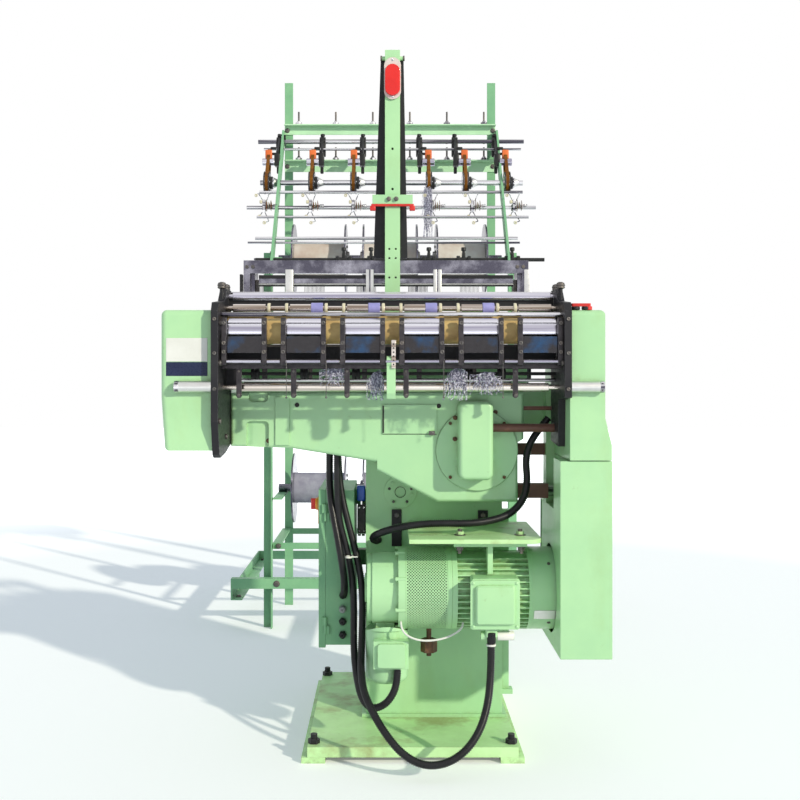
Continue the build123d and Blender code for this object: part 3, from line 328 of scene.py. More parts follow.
def makeFinish(name, colour, patch, spots, rough, grain, grimeAndCornerShade, wearAndHighlight, more=()):
    more = dict(more)
    material = bpy.data.materials.new(name)
    tree = emptyTree(material)
    place = addNode(tree, "TexCoord").outputs["Object"]
    # Broad patches of the second colour; stretched along x on the steels they are painted reflection streaks
    broad = cloud(tree, place, spots, stretch=more.get("reflectionStreaks", (1, 1, 1)))
    fine = cloud(tree, place, spots * 9, 5.0, shift=3.1)
    grainSpots, depth, *stretch = grain
    height = cloud(tree, place, grainSpots, 2.0, *stretch, shift=5.7)

    colour = mixColour(tree, spread(tree, broad, *more.get("between", (0.35, 0.65))), colour, patch)
    # Grime mask: dirt specks anywhere, and darkening in corners and recesses found by ambient occlusion,
    # which is dirt there and painted shade
    dirtAndShadeColour, reach, dirtAndShadeShare = grimeAndCornerShade
    cornerShade = addNode(tree, "AmbientOcclusion", {"Distance": reach}, samples=4).outputs["AO"]
    cornerShade = spread(tree, cornerShade, 0.75, 0.25)
    dirtAndShade = calc(tree, "MULTIPLY", cornerShade, spread(tree, fine, 0.35, 0.6), True)
    specks = spread(tree, fine, 0.66, 0.74, 0.0, 0.3)
    dirtAndShade = calc(tree, "MULTIPLY", calc(tree, "MAXIMUM", dirtAndShade, specks), dirtAndShadeShare, True)
    colour = mixColour(tree, dirtAndShade, colour, dirtAndShadeColour)
    if "stain" in more:
        stainColour, stainSpots, stainShare, runs = more["stain"]
        blots = spread(tree, cloud(tree, place, stainSpots, 6.0, runs, 9.3), 0.54, 0.7)
        colour = mixColour(tree, calc(tree, "MULTIPLY", blots, stainShare, True), colour, stainColour)

    # Rounded edges take the wear colour: brown wear on the base paint, and on most finishes a lighter tint of
    # the colour, which is a painted highlight
    rounded = addNode(tree, "Bevel", {"Radius": more.get("soften", 0.0014)}, samples=4).outputs[0]
    flat = addNode(tree, "NewGeometry").outputs["Normal"]
    turn = addNode(tree, "VectorMath", {0: rounded, 1: flat}, operation="DOT_PRODUCT").outputs["Value"]
    wearAndHighlightColour, wearAndHighlightShare = wearAndHighlight
    edge = calc(tree, "MULTIPLY", spread(tree, turn, 0.985, 0.9), spread(tree, fine, 0.4, 0.58))
    colour = mixColour(tree, calc(tree, "MULTIPLY", edge, wearAndHighlightShare, True), colour, wearAndHighlightColour)
    bump = addNode(tree, "Bump", {"Distance": depth, "Height": height, "Normal": rounded})
    shader = addNode(tree, "BsdfPrincipled", {
        "Base Color": colour, "Metallic": more.get("metal", 0.0), "Coat Weight": more.get("coat", 0.0),
        "Coat Roughness": 0.15, "Specular IOR Level": more.get("shine", 0.5), "Normal": bump.outputs[0],
        "Roughness": spread(tree, fine, 0.3, 0.7, *rough),
    })
    addNode(tree, "OutputMaterial", {"Surface": shader.outputs[0]})
    return material


finishes = {name: makeFinish(name, *look) for name, look in finishLooks.items()}

# Which finish each of the record's slots takes, and nodes with a look of their own
slotFinish = {
    "green_paint": "greenPaint", "stand_paint": "shadedStandPaint", "black_paint": "blackPaint",
    "bright_steel": "brightSteel", "dark_steel": "darkSteel", "aluminium": "aluminium",
    "brown_primer": "brownPrimer", "white_plastic": "whitePlastic", "red_lens": "redLens",
    "red_plastic": "redPlastic", "black_plastic": "blackPlastic", "amber_belt": "amberBelt",
    "black_rubber": "blackRubber", "blue_plastic": "bluePlastic",
}
nodeFinish = {
    "base_frame": "basePaint", "motor_plate": "basePaint", "harness_frame": "lilacSteel",
    "lower_warp_beams": "lilacSteel", "upper_warp_beams": "lilacSteel", "roller_brackets": "armSteel",
    "hanging_straps": "armSteel", "stand_cross_bars": "litStandPaint", "tension_screw": "rustySteel",
    "takeup_rollers": "drumSteel", "press_roller": "drumSteel", "nip_rollers": "bronzeSteel",
    "guide_roller": "bronzeSteel",
}
for name, node in nodes.items():
    for slot in node.material_slots:
        plain = slotFinish.get(slot.material.name.split(".")[0], "greenPaint")
        slot.material = finishes[nodeFinish.get(name, plain)]
print("finishes ready")

# Conduits: radius, pitch of the ridges and share of the radius left in the grooves; routes in metres
conduit = {"radius": 0.0095, "ridge": 0.005, "groove": 0.83}
lead = {"radius": 0.0025, "ridge": 0.006, "groove": 1.0}
tubeSides = 12
conduitRoutes = {
    "conduit_head": [
        (0.3855, -0.905, 0.8), (0.363, -0.906, 0.773), (0.339, -0.909, 0.738), (0.329, -0.914, 0.698),
        (0.333, -0.924, 0.652), (0.323, -0.938, 0.608), (0.288, -0.955, 0.574), (0.24, -0.97, 0.561),
        (0.188, -0.984, 0.557), (0.132, -0.99, 0.559), (0.077, -0.986, 0.556),
        (0.024, -0.968, 0.546), (-0.019, -0.932, 0.528), (-0.038, -0.88, 0.509), (-0.034, -0.828, 0.494),
        (-0.027, -0.79, 0.487), (-0.024, -0.7648, 0.485),
    ],
    "conduit_motor": [
        (0.236, -1.027, 0.2956), (0.236, -1.028, 0.262), (0.234, -1.036, 0.216), (0.227, -1.054, 0.161),
        (0.208, -1.079, 0.108), (0.173, -1.101, 0.066), (0.126, -1.114, 0.042), (0.075, -1.117, 0.041),
        (0.03, -1.108, 0.064), (-0.006, -1.086, 0.101), (-0.035, -1.052, 0.138), (-0.057, -1.008, 0.173),
        (-0.064, -0.96, 0.21), (-0.063, -0.914, 0.255), (-0.062, -0.882, 0.308), (-0.062, -0.866, 0.364),
        (-0.068, -0.858, 0.422), (-0.082, -0.852, 0.48), (-0.097, -0.847, 0.536), (-0.111, -0.842, 0.59),
        (-0.119, -0.837, 0.64), (-0.122, -0.834, 0.677), (-0.123, -0.833, 0.707),
    ],
    "conduit_inching": [
        (0.022, -0.969, 0.2167), (0.022, -0.9695, 0.192), (0.014, -0.978, 0.16), (-0.008, -0.984, 0.133),
        (-0.04, -0.978, 0.122), (-0.063, -0.958, 0.142), (-0.074, -0.934, 0.182), (-0.081, -0.908, 0.226),
        (-0.083, -0.885, 0.274), (-0.083, -0.864, 0.326), (-0.085, -0.855, 0.38), (-0.092, -0.857, 0.434),
        (-0.104, -0.858, 0.488), (-0.119, -0.857, 0.542), (-0.123, -0.861, 0.594), (-0.124, -0.862, 0.642),
        (-0.124, -0.862, 0.678), (-0.124, -0.861, 0.7074),
    ],
    "conduit_cabinet": [
        (-0.144, -0.838, 0.7114), (-0.144, -0.8385, 0.681), (-0.144, -0.842, 0.64), (-0.14, -0.85, 0.592),
        (-0.131, -0.862, 0.546), (-0.121, -0.873, 0.5), (-0.113, -0.879, 0.456), (-0.107, -0.876, 0.414),
        (-0.106, -0.858, 0.38), (-0.11, -0.831, 0.357), (-0.113, -0.803, 0.352),
    ],
    "motor_lead": [
        (0.03, -0.9807, 0.3273), (0.03, -0.9923, 0.3164), (0.042, -1.0, 0.3), (0.07, -1.003, 0.289),
        (0.106, -1.002, 0.2885), (0.142, -0.998, 0.296), (0.175, -0.9894, 0.3146), (0.175, -0.9788, 0.3252),
    ],
}


def newCurve(name, resolution=12):
    curve = bpy.data.curves.new(name, "CURVE")
    curve.dimensions = "3D"
    curve.resolution_u = resolution
    return curve


def addLine(curve, places, kind="NURBS"):  # a smooth line has the places as its control points
    line = curve.splines.new(kind)
    line.points.add(len(places) - 1)
    for point, place in zip(line.points, places):
        point.co = (*place, 1)
    if kind == "NURBS":
        line.order_u = 3
        line.use_endpoint_u = True
    return line


def meshOf(curve):
    holder = link(bpy.data.objects.new("curveHolder", curve))
    mesh = bpy.data.meshes.new_from_object(holder)
    bpy.data.objects.remove(holder)
    return mesh


def evenSteps(points, step):
    made, left = [points[0]], step
    for a, b in zip(points, points[1:]):
        run = (b - a).length
        at = left
        while at <= run:
            made.append(a.lerp(b, at / run))
            at += step
        left = at - run
    if (made[-1] - points[-1]).length < step * 0.3:
        made.pop()
    made.append(points[-1])
    return made


def ridgedTube(name, points, radius, ridge, groove):  # a bevelled line whose radius goes up and down
    curve = newCurve(name)
    curve.bevel_depth = radius
    curve.bevel_resolution = tubeSides // 4 - 1
    curve.use_fill_caps = True
    curve.twist_mode = "MINIMUM"
    for n, point in enumerate(addLine(curve, evenSteps(points, ridge / 2), "POLY").points):
        point.radius = 1.0 if n % 2 else groove
    mesh = meshOf(curve)
    mesh.name = name
    for face in mesh.polygons:
        face.use_smooth = True
    return link(bpy.data.objects.new(name, mesh))


for name, route in conduitRoutes.items():
    curve = newCurve(name + "Line")
    addLine(curve, route)
    points = [v.co.copy() for v in meshOf(curve).vertices]
    if name == "motor_lead":
        newName, look, finish = "motorLead", lead, "whitePlastic"
    else:
        newName, look, finish = name.replace("conduit_", "ridgedConduit_"), conduit, "conduitSkin"
    tube = ridgedTube(newName, points, **look)
    tube.data.materials.clear()
    tube.data.materials.append(finishes[finish])
    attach(tube, "frame")
    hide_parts(name)
print("conduits ready")

# Ways to start a shape. Each piece below puts a few of them in one mesh
alongX, alongY, alongZ = (1, 0, 0), (0, 1, 0), (0, 0, 1)
backX, facing, below = (-1, 0, 0), (0, -1, 0), (0, 0, -1)


def meshes(count):
    return [bmesh.new() for n in range(count)]


def softRing(long, radius, soft, inner=0):  # outline of a turned disc or ring: place on the axis, radius
    return [
        (0, inner), (0, radius - soft), (soft, radius),
        (long - soft, radius), (long, radius - soft), (long, inner),
    ]


def plainRing(long, radius, inner=0):
    return [(0, inner), (0, radius), (long, radius), (long, inner)]


def onCircle(count, radius, first=0.0):  # first: share of a step
    turns = [math.tau * (n + first) / count for n in range(count)]
    return [(radius * math.cos(turn), radius * math.sin(turn)) for turn in turns]


def join(bm, part, centre=(0, 0, 0), along=alongZ, roll=0.0):
    turn = Vector(along).to_track_quat("Z", "Y").to_matrix().to_4x4() @ Matrix.Rotation(roll, 4, "Z")
    bmesh.ops.transform(part, matrix=Matrix.Translation(centre) @ turn, verts=part.verts)
    scratch = bpy.data.meshes.new("scratch")
    part.to_mesh(scratch)
    part.free()
    bm.from_mesh(scratch)
    bpy.data.meshes.remove(scratch)


def soften(part, edges, size, segments):
    bmesh.ops.bevel(
        part, geom=edges, offset=size, segments=segments, profile=0.5, affect="EDGES", material=-1,
    )


def addBlock(bm, low, high, soft=0.001, segments=2):
    part = bmesh.new()
    bmesh.ops.create_cube(part, size=1)
    bmesh.ops.scale(part, vec=[b - a for a, b in zip(low, high)], verts=part.verts)
    if soft:
        soften(part, list(part.edges), soft, segments)
    join(bm, part, [(a + b) / 2 for a, b in zip(low, high)])


def addTurned(bm, centre, along, profile, steps=24):
    part = bmesh.new()
    points = [part.verts.new((radius, 0, at)) for at, radius in profile]
    edges = [part.edges.new(pair) for pair in zip(points, points[1:])]
    bmesh.ops.spin(
        part, geom=points + edges, cent=(0, 0, 0), axis=(0, 0, 1), dvec=(0, 0, 0),
        angle=math.tau, steps=steps, use_merge=True, use_duplicate=False,
    )
    bmesh.ops.remove_doubles(part, verts=part.verts, dist=1e-6)
    join(bm, part, centre, along)


def addBar(bm, start, end, radius, soft=0.0006, steps=16):
    run = Vector(end) - Vector(start)
    soft = min(soft, radius * 0.4, run.length * 0.3)
    addTurned(bm, start, run, softRing(run.length, radius, soft), steps)


def addHex(bm, centre, along, radius, height, roll=0.0):
    part = bmesh.new()
    bmesh.ops.create_cone(part, cap_ends=True, segments=6, radius1=radius, radius2=radius, depth=height)
    bmesh.ops.translate(part, vec=(0, 0, height / 2), verts=part.verts)
    soften(part, [e for e in part.edges if all(v.co.z > height * 0.9 for v in e.verts)], height * 0.16, 1)
    join(bm, part, centre, along, roll)


def addBolt(bm, centre, along, radius, height):  # washer and hexagon head
    washer = radius * 1.35
    addTurned(bm, centre, along, [(0, 0), (0, washer), (height * 0.18, washer), (height * 0.22, 0)], 18)
    start = Vector(centre) + Vector(along).normalized() * height * 0.2
    addHex(bm, start, along, radius, height * 0.8, random.uniform(0, 1))


def addSocketScrew(bm, centre, along, radius, height):
    well = radius * 0.5
    profile = [
        (0, 0), (0, radius), (height * 0.82, radius), (height, radius * 0.86), (height, well),
        (height * 0.5, well), (height * 0.45, 0),
    ]
    addTurned(bm, centre, along, profile, 14)


def addDomeScrew(bm, centre, along, radius, height):
    profile = [(0, 0), (0, radius), (height * 0.4, radius * 0.95), (height * 0.8, radius * 0.6), (height, 0)]
    addTurned(bm, centre, along, profile, 12)


def finishPiece(name, bm, finish, body="frame", stands=None):
    bmesh.ops.recalc_face_normals(bm, faces=bm.faces)
    mesh = bpy.data.meshes.new(name)
    bm.to_mesh(mesh)
    bm.free()
    mesh.shade_smooth()
    mesh.set_sharp_from_angle(angle=math.radians(34))
    mesh.materials.append(finishes[finish])
    piece = link(bpy.data.objects.new(name, mesh))
    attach(piece, body)
    if stands:
        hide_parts(stands)


def boxPiece(name, finish, boxes, soft=0.0006, segments=1, body="frame"):
    bm = bmesh.new()
    for low, high in boxes:
        addBlock(bm, low, high, soft, segments)
    finishPiece(name, bm, finish, body)


def axisOf(node):  # y and z of a round node's middle
    low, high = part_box(node)
    return (low[1] + high[1]) / 2, (low[2] + high[2]) / 2


# Cloth rollers: six heads, from left to right
headRow = {"middle": 0.0095, "pitch": 0.133, "count": 6, "drumHalf": 0.0395}
heads = [
    headRow["middle"] + headRow["pitch"] * (n - (headRow["count"] - 1) / 2)
    for n in range(headRow["count"])
]

clothRoll = {"sleeve": 0.0294, "shaft": 0.0103, "gap": 0.001, "crease": 0.00035, "creases": 9}


def leatherSleeves():
    bm = bmesh.new()
    radius, shaft, gap, crease, creases = clothRoll.values()
    gap += headRow["drumHalf"]
    for left, right in zip(heads, heads[1:]):
        start, long = left + gap, right - left - gap * 2
        profile = [(0, shaft), (0, radius - 0.0012), (0.001, radius)]
        for n in range(1, creases * 2):
            dip = crease * random.uniform(0.3, 1.0) if n % 2 else 0
            profile.append((0.001 + (long - 0.002) * n / (creases * 2), radius - dip))
        profile += [(long - 0.001, radius), (long, radius - 0.0012), (long, shaft)]
        addTurned(bm, (start, *axisOf("takeup_rollers")), alongX, profile, 40)
    finishPiece("leatherSleeves", bm, "tanLeather", "takeup")


feedCams = {
    "x": (-0.311, -0.196, -0.075, 0.189, 0.266),
    "axis": (-0.965, 0.906), "rod": 0.004, "cam": 0.014, "half": 0.0095,
}


def clothGuidesAndShadePlates():
    left, right = -0.3775, 0.3925
    # Black plates behind the rollers fill the gaps between them with painted shade; the top plate, above the
    # nip rollers, also stands for a cloth guard
    boxPiece("clothGuardAndShadePlates", "blackPaint", (
        ((left, -0.984, 0.917), (right, -0.9815, 0.969)), ((left, -0.984, 0.917), (right, -0.974, 0.9195)),
        ((left, -0.9815, 0.87), (-0.3505, -0.9785, 0.938)), ((left, -0.94, 1.058), (right, -0.938, 1.087)),
    ))
    boxPiece("clothBoard", "tanLeather", [((left, -0.964, 1.03), (right, -0.96, 1.051))], 0.001, 2)
    boxPiece("rearPanel", "greenPaint", [((0.336, -0.8, 0.778), (0.405, -0.798, 0.865))])
    bm = bmesh.new()
    (y, z), radius, half = feedCams["axis"], feedCams["cam"], feedCams["half"]
    addBar(bm, (left, y, z), (right, y, z), feedCams["rod"])
    profile = softRing(half * 2, radius, 0.0015)
    profile[3:3] = [
        (half - 0.003, radius), (half - 0.002, radius * 0.8),
        (half + 0.002, radius * 0.8), (half + 0.003, radius),
    ]
    for x in feedCams["x"]:
        addTurned(bm, (x - half, y, z), alongX, profile, 28)
        addSocketScrew(bm, (x, y - radius + 0.001, z), facing, 0.0028, 0.0025)
    finishPiece("feedCams", bm, "blackPlastic")


nipTrim = {"band": (0.011, 0.0385, 0.0135), "rings": (0.046, 0.087), "ring": (0.0128, 0.007), "core": 0.0106}


def nipTrims():
    bands, rings = meshes(2)
    axis = axisOf("nip_rollers")
    start, end, radius = nipTrim["band"]
    long = end - start
    profile = softRing(long, radius, 0.0009, nipTrim["core"])
    profile[3:3] = [(long * 0.4, radius - 0.0002), (long * 0.7, radius)]
    for x in heads[1:5]:
        addTurned(bands, (x + start, *axis), alongX, profile, 28)
    radius, wide = nipTrim["ring"]
    for x in heads[:-1]:
        for at in nipTrim["rings"]:
            addTurned(rings, (x + at - wide / 2, *axis), alongX, softRing(wide, radius, 0.001, 0.0062), 24)
    finishPiece("nipBands", bands, "lilacTape", "nip")
    finishPiece("nipRings", rings, "creamPlastic", "nip")


armFace = {
    "bolts": (0.955, 0.975, 1.02), "side": 0.045, "plate": (0.039, 0.953, 0.99, -1.0722, -1.0712),
    "strapX": (-0.338, -0.214, -0.093, 0.041, 0.289), "strapZ": 0.857, "rod": (-1.084, 0.9335, 0.0034),
    "wireX": (-0.227, -0.138, 0.1245, 0.257), "wireZ": 0.853,
}


def armTrims():
    bolts, plates, rods, wires = meshes(4)
    half, low, high, front, back = armFace["plate"]
    y, z, radius = armFace["rod"]
    for x in heads:
        addBlock(plates, (x - half, front, low), (x + half, back, high), 0.0004, 1)
        for side in (-armFace["side"], armFace["side"]):
            for at in armFace["bolts"]:
                addSocketScrew(bolts, (x + side, y + 0.001, at), facing, 0.0046, 0.0045)
        addBar(rods, (x - 0.0385, y, z), (x + 0.0385, y, z), radius, 0.0003, 12)
        if x != heads[-1]:
            addBar(rods, (x + 0.052, y, z), (x + 0.081, y, z), radius, 0.0003, 12)
    hang, end = y - radius - 0.0002, armFace["wireZ"]
    for x in armFace["wireX"]:
        addBar(wires, (x, hang, z + 0.001), (x, hang, end), 0.0008, 0.0001, 8)
        addBar(wires, (x, hang, end + 0.002), (x, hang, end - 0.002), 0.0022, 0.0006, 10)
    front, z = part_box("hanging_straps")[0][1], armFace["strapZ"]
    for x in armFace["strapX"]:
        addHex(bolts, (x, front + 0.004, z), facing, 0.0048, 0.004)
        addHex(bolts, (x, front + 0.0065, z + 0.055), facing, 0.0035, 0.003)
    finishPiece("railRods", rods, "drumSteel")
    finishPiece("railWires", wires, "darkSteel")
    finishPiece("breastPlates", plates, "blueSteel")
    finishPiece("armScrews", bolts, "darkSteel")


slottedBar = {"x": (0.0076, 0.0174), "z": (0.918, 0.9815), "thick": 0.0035, "hole": 0.002, "holes": 6}


def stopLeverBar():
    bar, holes = meshes(2)
    (left, right), (low, high), thick, hole, count = slottedBar.values()
    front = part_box("stop_lever")[0][1]
    addBlock(bar, (left, front, low), (right, front + thick, high), 0.0006)
    # Near-black discs for the bar's holes: painted shade
    for n in range(count):
        x, z = (left + right) / 2, low + (high - low) / (count + 1) * (n + 1)
        addBar(holes, (x, front - 0.0002, z), (x, front + 0.001, z), hole, 0.0001, 10)
    finishPiece("stopLeverBar", bar, "bronzeSteel", "stop")
    finishPiece("stopLeverBarHoles", holes, "holeShadeAndJoints", "stop")


plateTrim = {
    "screws": (
        (-1.085, 0.8), (-1.085, 0.93), (-1.075, 1.02), (-0.985, 0.76), (-0.93, 0.9), (-0.93, 1.06),
        (-1.0, 0.94),
    ),
    "screw": (0.0065, 0.005), "edges": (-0.386, 0.401), "knobs": (-0.99, -0.928),
}


def sidePlateTrims():
    knobs, screws = meshes(2)
    knob = [
        (0, 0), (0, 0.0075), (0.002, 0.0105), (0.005, 0.0095),
        (0.008, 0.011), (0.011, 0.0095), (0.014, 0.0085),
        (0.0155, 0),
    ]
    for y, z in plateTrim["screws"]:
        addSocketScrew(screws, (-0.378, y, z), alongX, *plateTrim["screw"])
        if z > 0.86:
            addSocketScrew(screws, (0.393, y, z), backX, *plateTrim["screw"])
    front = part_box("side_plates")[0][1] + 0.0005
    for x in plateTrim["edges"]:
        for y in plateTrim["knobs"]:
            addTurned(knobs, (x, y, 1.1035), alongZ, knob, 18)
        for z in (0.872, 0.952, 1.028):
            addSocketScrew(screws, (x, front, z), facing, 0.0042, 0.0035)
    finishPiece("heightKnobs", knobs, "darkSteel")
    finishPiece("sidePlateScrews", screws, "darkSteel")


# Tufts of waste: left, right, low, high, front and number of threads
threadWaste = {
    "tufts": (
        (-0.1435, -0.0979, 0.88, 0.919, -1.043, 60), (-0.0364, -0.0137, 0.846, 0.91, -1.043, 60),
        (0.1367, 0.1754, 0.846, 0.919, -1.043, 60), (0.198, 0.255, 0.858, 0.91, -1.043, 60),
        (0.133, 0.157, 1.392, 1.58, 0.44, 110),
    ),
    "radius": 0.00066,
}


def threadTufts():
    curve = newCurve("threads", 4)
    curve.bevel_depth = threadWaste["radius"]
    curve.bevel_resolution = 0
    for left, right, low, high, front, strands in threadWaste["tufts"]:
        middle, half = (left + right) / 2, (right - left) / 2
        for n in range(strands):
            count, places = random.choice((6, 7, 8)), []
            x, z = random.gauss(middle, half * 0.45), high - random.uniform(0, 0.01)
            end = min(abs(random.gauss(0, 0.45)), 1.0)
            lean = random.gauss(0, half * 0.3)
            for at in range(count):
                y = front + random.uniform(-0.006, 0.006) - 0.004 * math.sin(math.pi * at / count)
                places.append((x, y, z))
                x += lean + random.gauss(0, 0.0055)
                x = min(max(x + (middle - x) * 0.22, left - 0.012), right + 0.004)
                z = max(z - (high - low) / count * random.uniform(-0.4, 1.9) * (0.6 + end), low)
            addLine(curve, places)
    bm = bmesh.new()
    bm.from_mesh(meshOf(curve))
    finishPiece("threadWaste", bm, "whiteThread")


leatherSleeves()
clothGuidesAndShadePlates()
nipTrims()
armTrims()
stopLeverBar()
sidePlateTrims()
threadTufts()
print("cloth rollers dressed")

# End covers: bare label plates, bar ends, the handle's knob
labelPlate = {
    "x": (-0.4985, -0.4053), "thick": 0.0006, "labelWhite": (0.9336, 0.9863), "labelNavy": (0.901, 0.9325),
}


def coverTrims():
    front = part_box("end_cover_left")[0][1]
    left, right = labelPlate["x"]
    for name, finish in (("labelWhite", "whitePlastic"), ("labelNavy", "navyPlate")):
        low, high = labelPlate[name]
        boxPiece(
            name, finish, [((left, front - labelPlate["thick"], low), (right, front + 0.0005, high))], 0.0003,
        )

    caps, holes, screws, knobs = meshes(4)
    low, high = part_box("hand_bars")
    y, z = axisOf("hand_bars")
    for x, side in ((low[0], -1), (high[0], 1)):
        # Near-black discs for the holes in and beside the bar ends: painted shade
        addTurned(holes, (x + side * 0.0004, y, z), (-side, 0, 0), plainRing(0.004, 0.0042), 16)
        for rise in (-0.0062, 0.0062):
            addTurned(holes, (x - side * 0.006, y - 0.0121, z + rise), alongY, plainRing(0.003, 0.0024), 12)
        profile = [(0, 0.007), (0, 0.012), (0.001, 0.0134), (0.009, 0.0134), (0.01, 0.0126)]
        addTurned(caps, (x, y, z), (-side, 0, 0), profile, 28)
    finishPiece("barHoles", holes, "holeShadeAndJoints")
    finishPiece("barEnds", caps, "brightSteel")

    for node, side in (("end_cover_left", -1), ("end_cover_right", 1)):
        low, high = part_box(node)
        for y in (low[1] + 0.05, high[1] - 0.05):
            for z in (low[2] + 0.17, high[2] - 0.06):
                addDomeScrew(screws, (low[0] if side < 0 else 0.488, y, z), (side, 0, 0), 0.0065, 0.003)
        for x in (low[0] + 0.03, high[0] - 0.03):
            for z in (high[2] - 0.06, low[2] + 0.06):
                addDomeScrew(screws, (x, high[1], z), alongY, 0.006, 0.003)
    finishPiece("coverScrews", screws, "darkSteel")

    low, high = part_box("start_handle")
    profile = [(0, 0), (0, 0.0085), (0.0015, 0.0098), (0.006, 0.0098), (0.0078, 0.008), (0.0078, 0)]
    for x in (0.424, 0.447):  # black knobs under the red lever
        addTurned(knobs, (x, (low[1] + high[1]) / 2, low[2] + 0.0001), alongZ, profile, 24)
    finishPiece("handleKnob", knobs, "blackPlastic", "handle")


coverTrims()
print("end covers dressed")

# Main casting: bolts, oil holes, panel slit, joint lines, weld
castingTrim = {
    "front": -0.91, "holes": ((-0.2182, 0.8309), (0.1218, 0.8287)), "bolts": (
        (-0.3214, -0.901, 0.8309), (-0.2878, -0.901, 0.7445), (0.1607, -0.918, 0.8006), (0.16, -0.918, 0.75),
        (0.2576, -0.91, 0.8134),
    ),
    "lines": (
        (0.213, -0.9102, 0.723, 0.0985, 0.0009), (0.031, -0.7652, 0.607, 0.0385, 0.001),
        (0.031, -0.7776, 0.607, 0.014, 0.0012),
    ),
}


def castingTrims():
    rusty, holes, dark, screws, lines, weld = meshes(6)
    front = castingTrim["front"]
    for place in castingTrim["bolts"]:
        addBolt(rusty, place, facing, 0.0042, 0.005)
    for dx, dz in onCircle(4, 0.091, 0.5):
        addSocketScrew(rusty, (0.213 + dx, front - 0.011, 0.723 + dz), facing, 0.004, 0.0022)
    # Oil holes and the panel slit as near-black shapes, painted shade in them; the long thin strip is a dark
    # joint line
    for x, z in castingTrim["holes"]:
        addTurned(holes, (x, front - 0.0012, z), alongY, plainRing(0.002, 0.0055), 18)
    addBlock(holes, (-0.0132, front - 0.0042, 0.7643), (-0.0096, front - 0.0028, 0.8291), 0.0003, 1)
    addBlock(holes, (-0.0134, front - 0.0006, 0.7601), (0.1165, front + 0.0004, 0.7619), 0.0001, 1)
    addBlock(dark, (0.098, front - 0.0098, 0.759), (0.112, front - 0.0085, 0.769), 0.0004, 1)
    addTurned(
        dark, (0.105, front - 0.0085, 0.764), facing, [(0, 0), (0, 0.0035), (0.003, 0.003), (0.0032, 0)], 14,
    )
    finishPiece("castingBolts", rusty, "rustySteel")
    finishPiece("castingHoles", holes, "holeShadeAndJoints")
    finishPiece("panelLatch", dark, "darkSteel")

    for dx, dz in onCircle(5, 0.029, 1.25):
        addDomeScrew(screws, (0.031 + dx, -0.7795, 0.607 + dz), facing, 0.0038, 0.0026)
    finishPiece("flangeScrews", screws, "darkSteel")
    for x, y, z, radius, wide in castingTrim["lines"]:
        profile = plainRing(0.0006, radius, radius - wide) + [(0, radius - wide)]
        addTurned(lines, (x, y, z), facing, profile, 72)
    finishPiece("jointLines", lines, "holeShadeAndJoints")
    for n in range(58):
        x = -0.058 + 0.0061 * n
        addBar(
            weld, (x, -0.766, 0.0392), (x + 0.0068, -0.766, 0.0392), random.uniform(0.003, 0.004), 0.0014, 10,
        )
    finishPiece("columnWeld", weld, "rustySteel")
    boxPiece("blackStraps", "blackPaint", (  # two hangers and the rubber edging on the belt guard
        ((0.0093, -0.7702, 0.4695), (0.0347, -0.768, 0.5625)),
        ((0.2273, -0.7702, 0.531), (0.2527, -0.768, 0.5605)),
        ((0.3864, -0.7665, 0.577), (0.437, -0.7605, 0.583)),
        ((0.3864, -0.7665, 0.46), (0.3886, -0.7605, 0.59)),
    ))


castingTrims()
print("casting dressed")

# Drive: perforated clutch sleeve, motor bolts, lid screws, air slots, cable gland, bare plate
# dark: inner radius of the rims, and radius of a near-black core that puts painted shade behind the holes
clutchSleeve = {
    "holed": (0.0424, 0.138), "whole": (0.041, 0.15), "radius": 0.0966, "rim": 0.097, "dark": 0.0925,
    "around": 86, "rows": 14, "strut": 0.00112, "wall": 0.0008,
}


def perforatedSleeve():
    axis = axisOf("clutch_cover")
    (left, right), (first, last), radius, rim, dark, around, rows, strut, wall = clutchSleeve.values()
    part, bm, core = meshes(3)
    bmesh.ops.create_cone(
        part, cap_ends=False, segments=around, radius1=radius, radius2=radius, depth=right - left,
    )
    upright = [e for e in part.edges if abs(e.verts[0].co.z - e.verts[1].co.z) > 0.01]
    bmesh.ops.subdivide_edges(part, edges=upright, cuts=rows - 1)
    grid = list(part.edges)
    bmesh.ops.poke(part, faces=list(part.faces))
    inner = [e for e in grid if e.is_valid and len(e.link_faces) == 2]
    bmesh.ops.dissolve_edges(part, edges=inner, use_verts=False)
    diamonds = [f for f in part.faces if len(f.verts) == 4]
    bmesh.ops.inset_individual(part, faces=diamonds, thickness=strut, use_even_offset=True)
    bmesh.ops.delete(part, geom=diamonds, context="FACES")
    bmesh.ops.recalc_face_normals(part, faces=part.faces)
    bmesh.ops.solidify(part, geom=list(part.faces), thickness=wall)
    join(bm, part, ((left + right) / 2, *axis), alongX)
    for start, end in ((first, left), (right, last)):
        profile = softRing(end - start, rim, min(0.001, (end - start) * 0.4), dark)
        addTurned(bm, (start, *axis), alongX, profile, 96)
    finishPiece("perforatedSleeve", bm, "greenPaint", stands="clutch_cover")
    # Near-black cylinder inside the sleeve: painted shade seen through the holes
    addTurned(core, (first, *axis), alongX, plainRing(last - first, dark), 64)
    finishPiece("sleeveShadeCore", core, "holeShadeAndJoints")


motorTrim = {
    "lidScrews": ((0.1935, 0.3325), (0.2925, 0.3325), (0.1935, 0.4305), (0.2925, 0.4305)), "lidFront": -1.052,
    "slots": ((0.03, 10), (0.044, 16), (0.058, 22), (0.072, 28)),
    "plate": (0.3387, 0.3889, 0.336, 0.358, 0.0975),
}


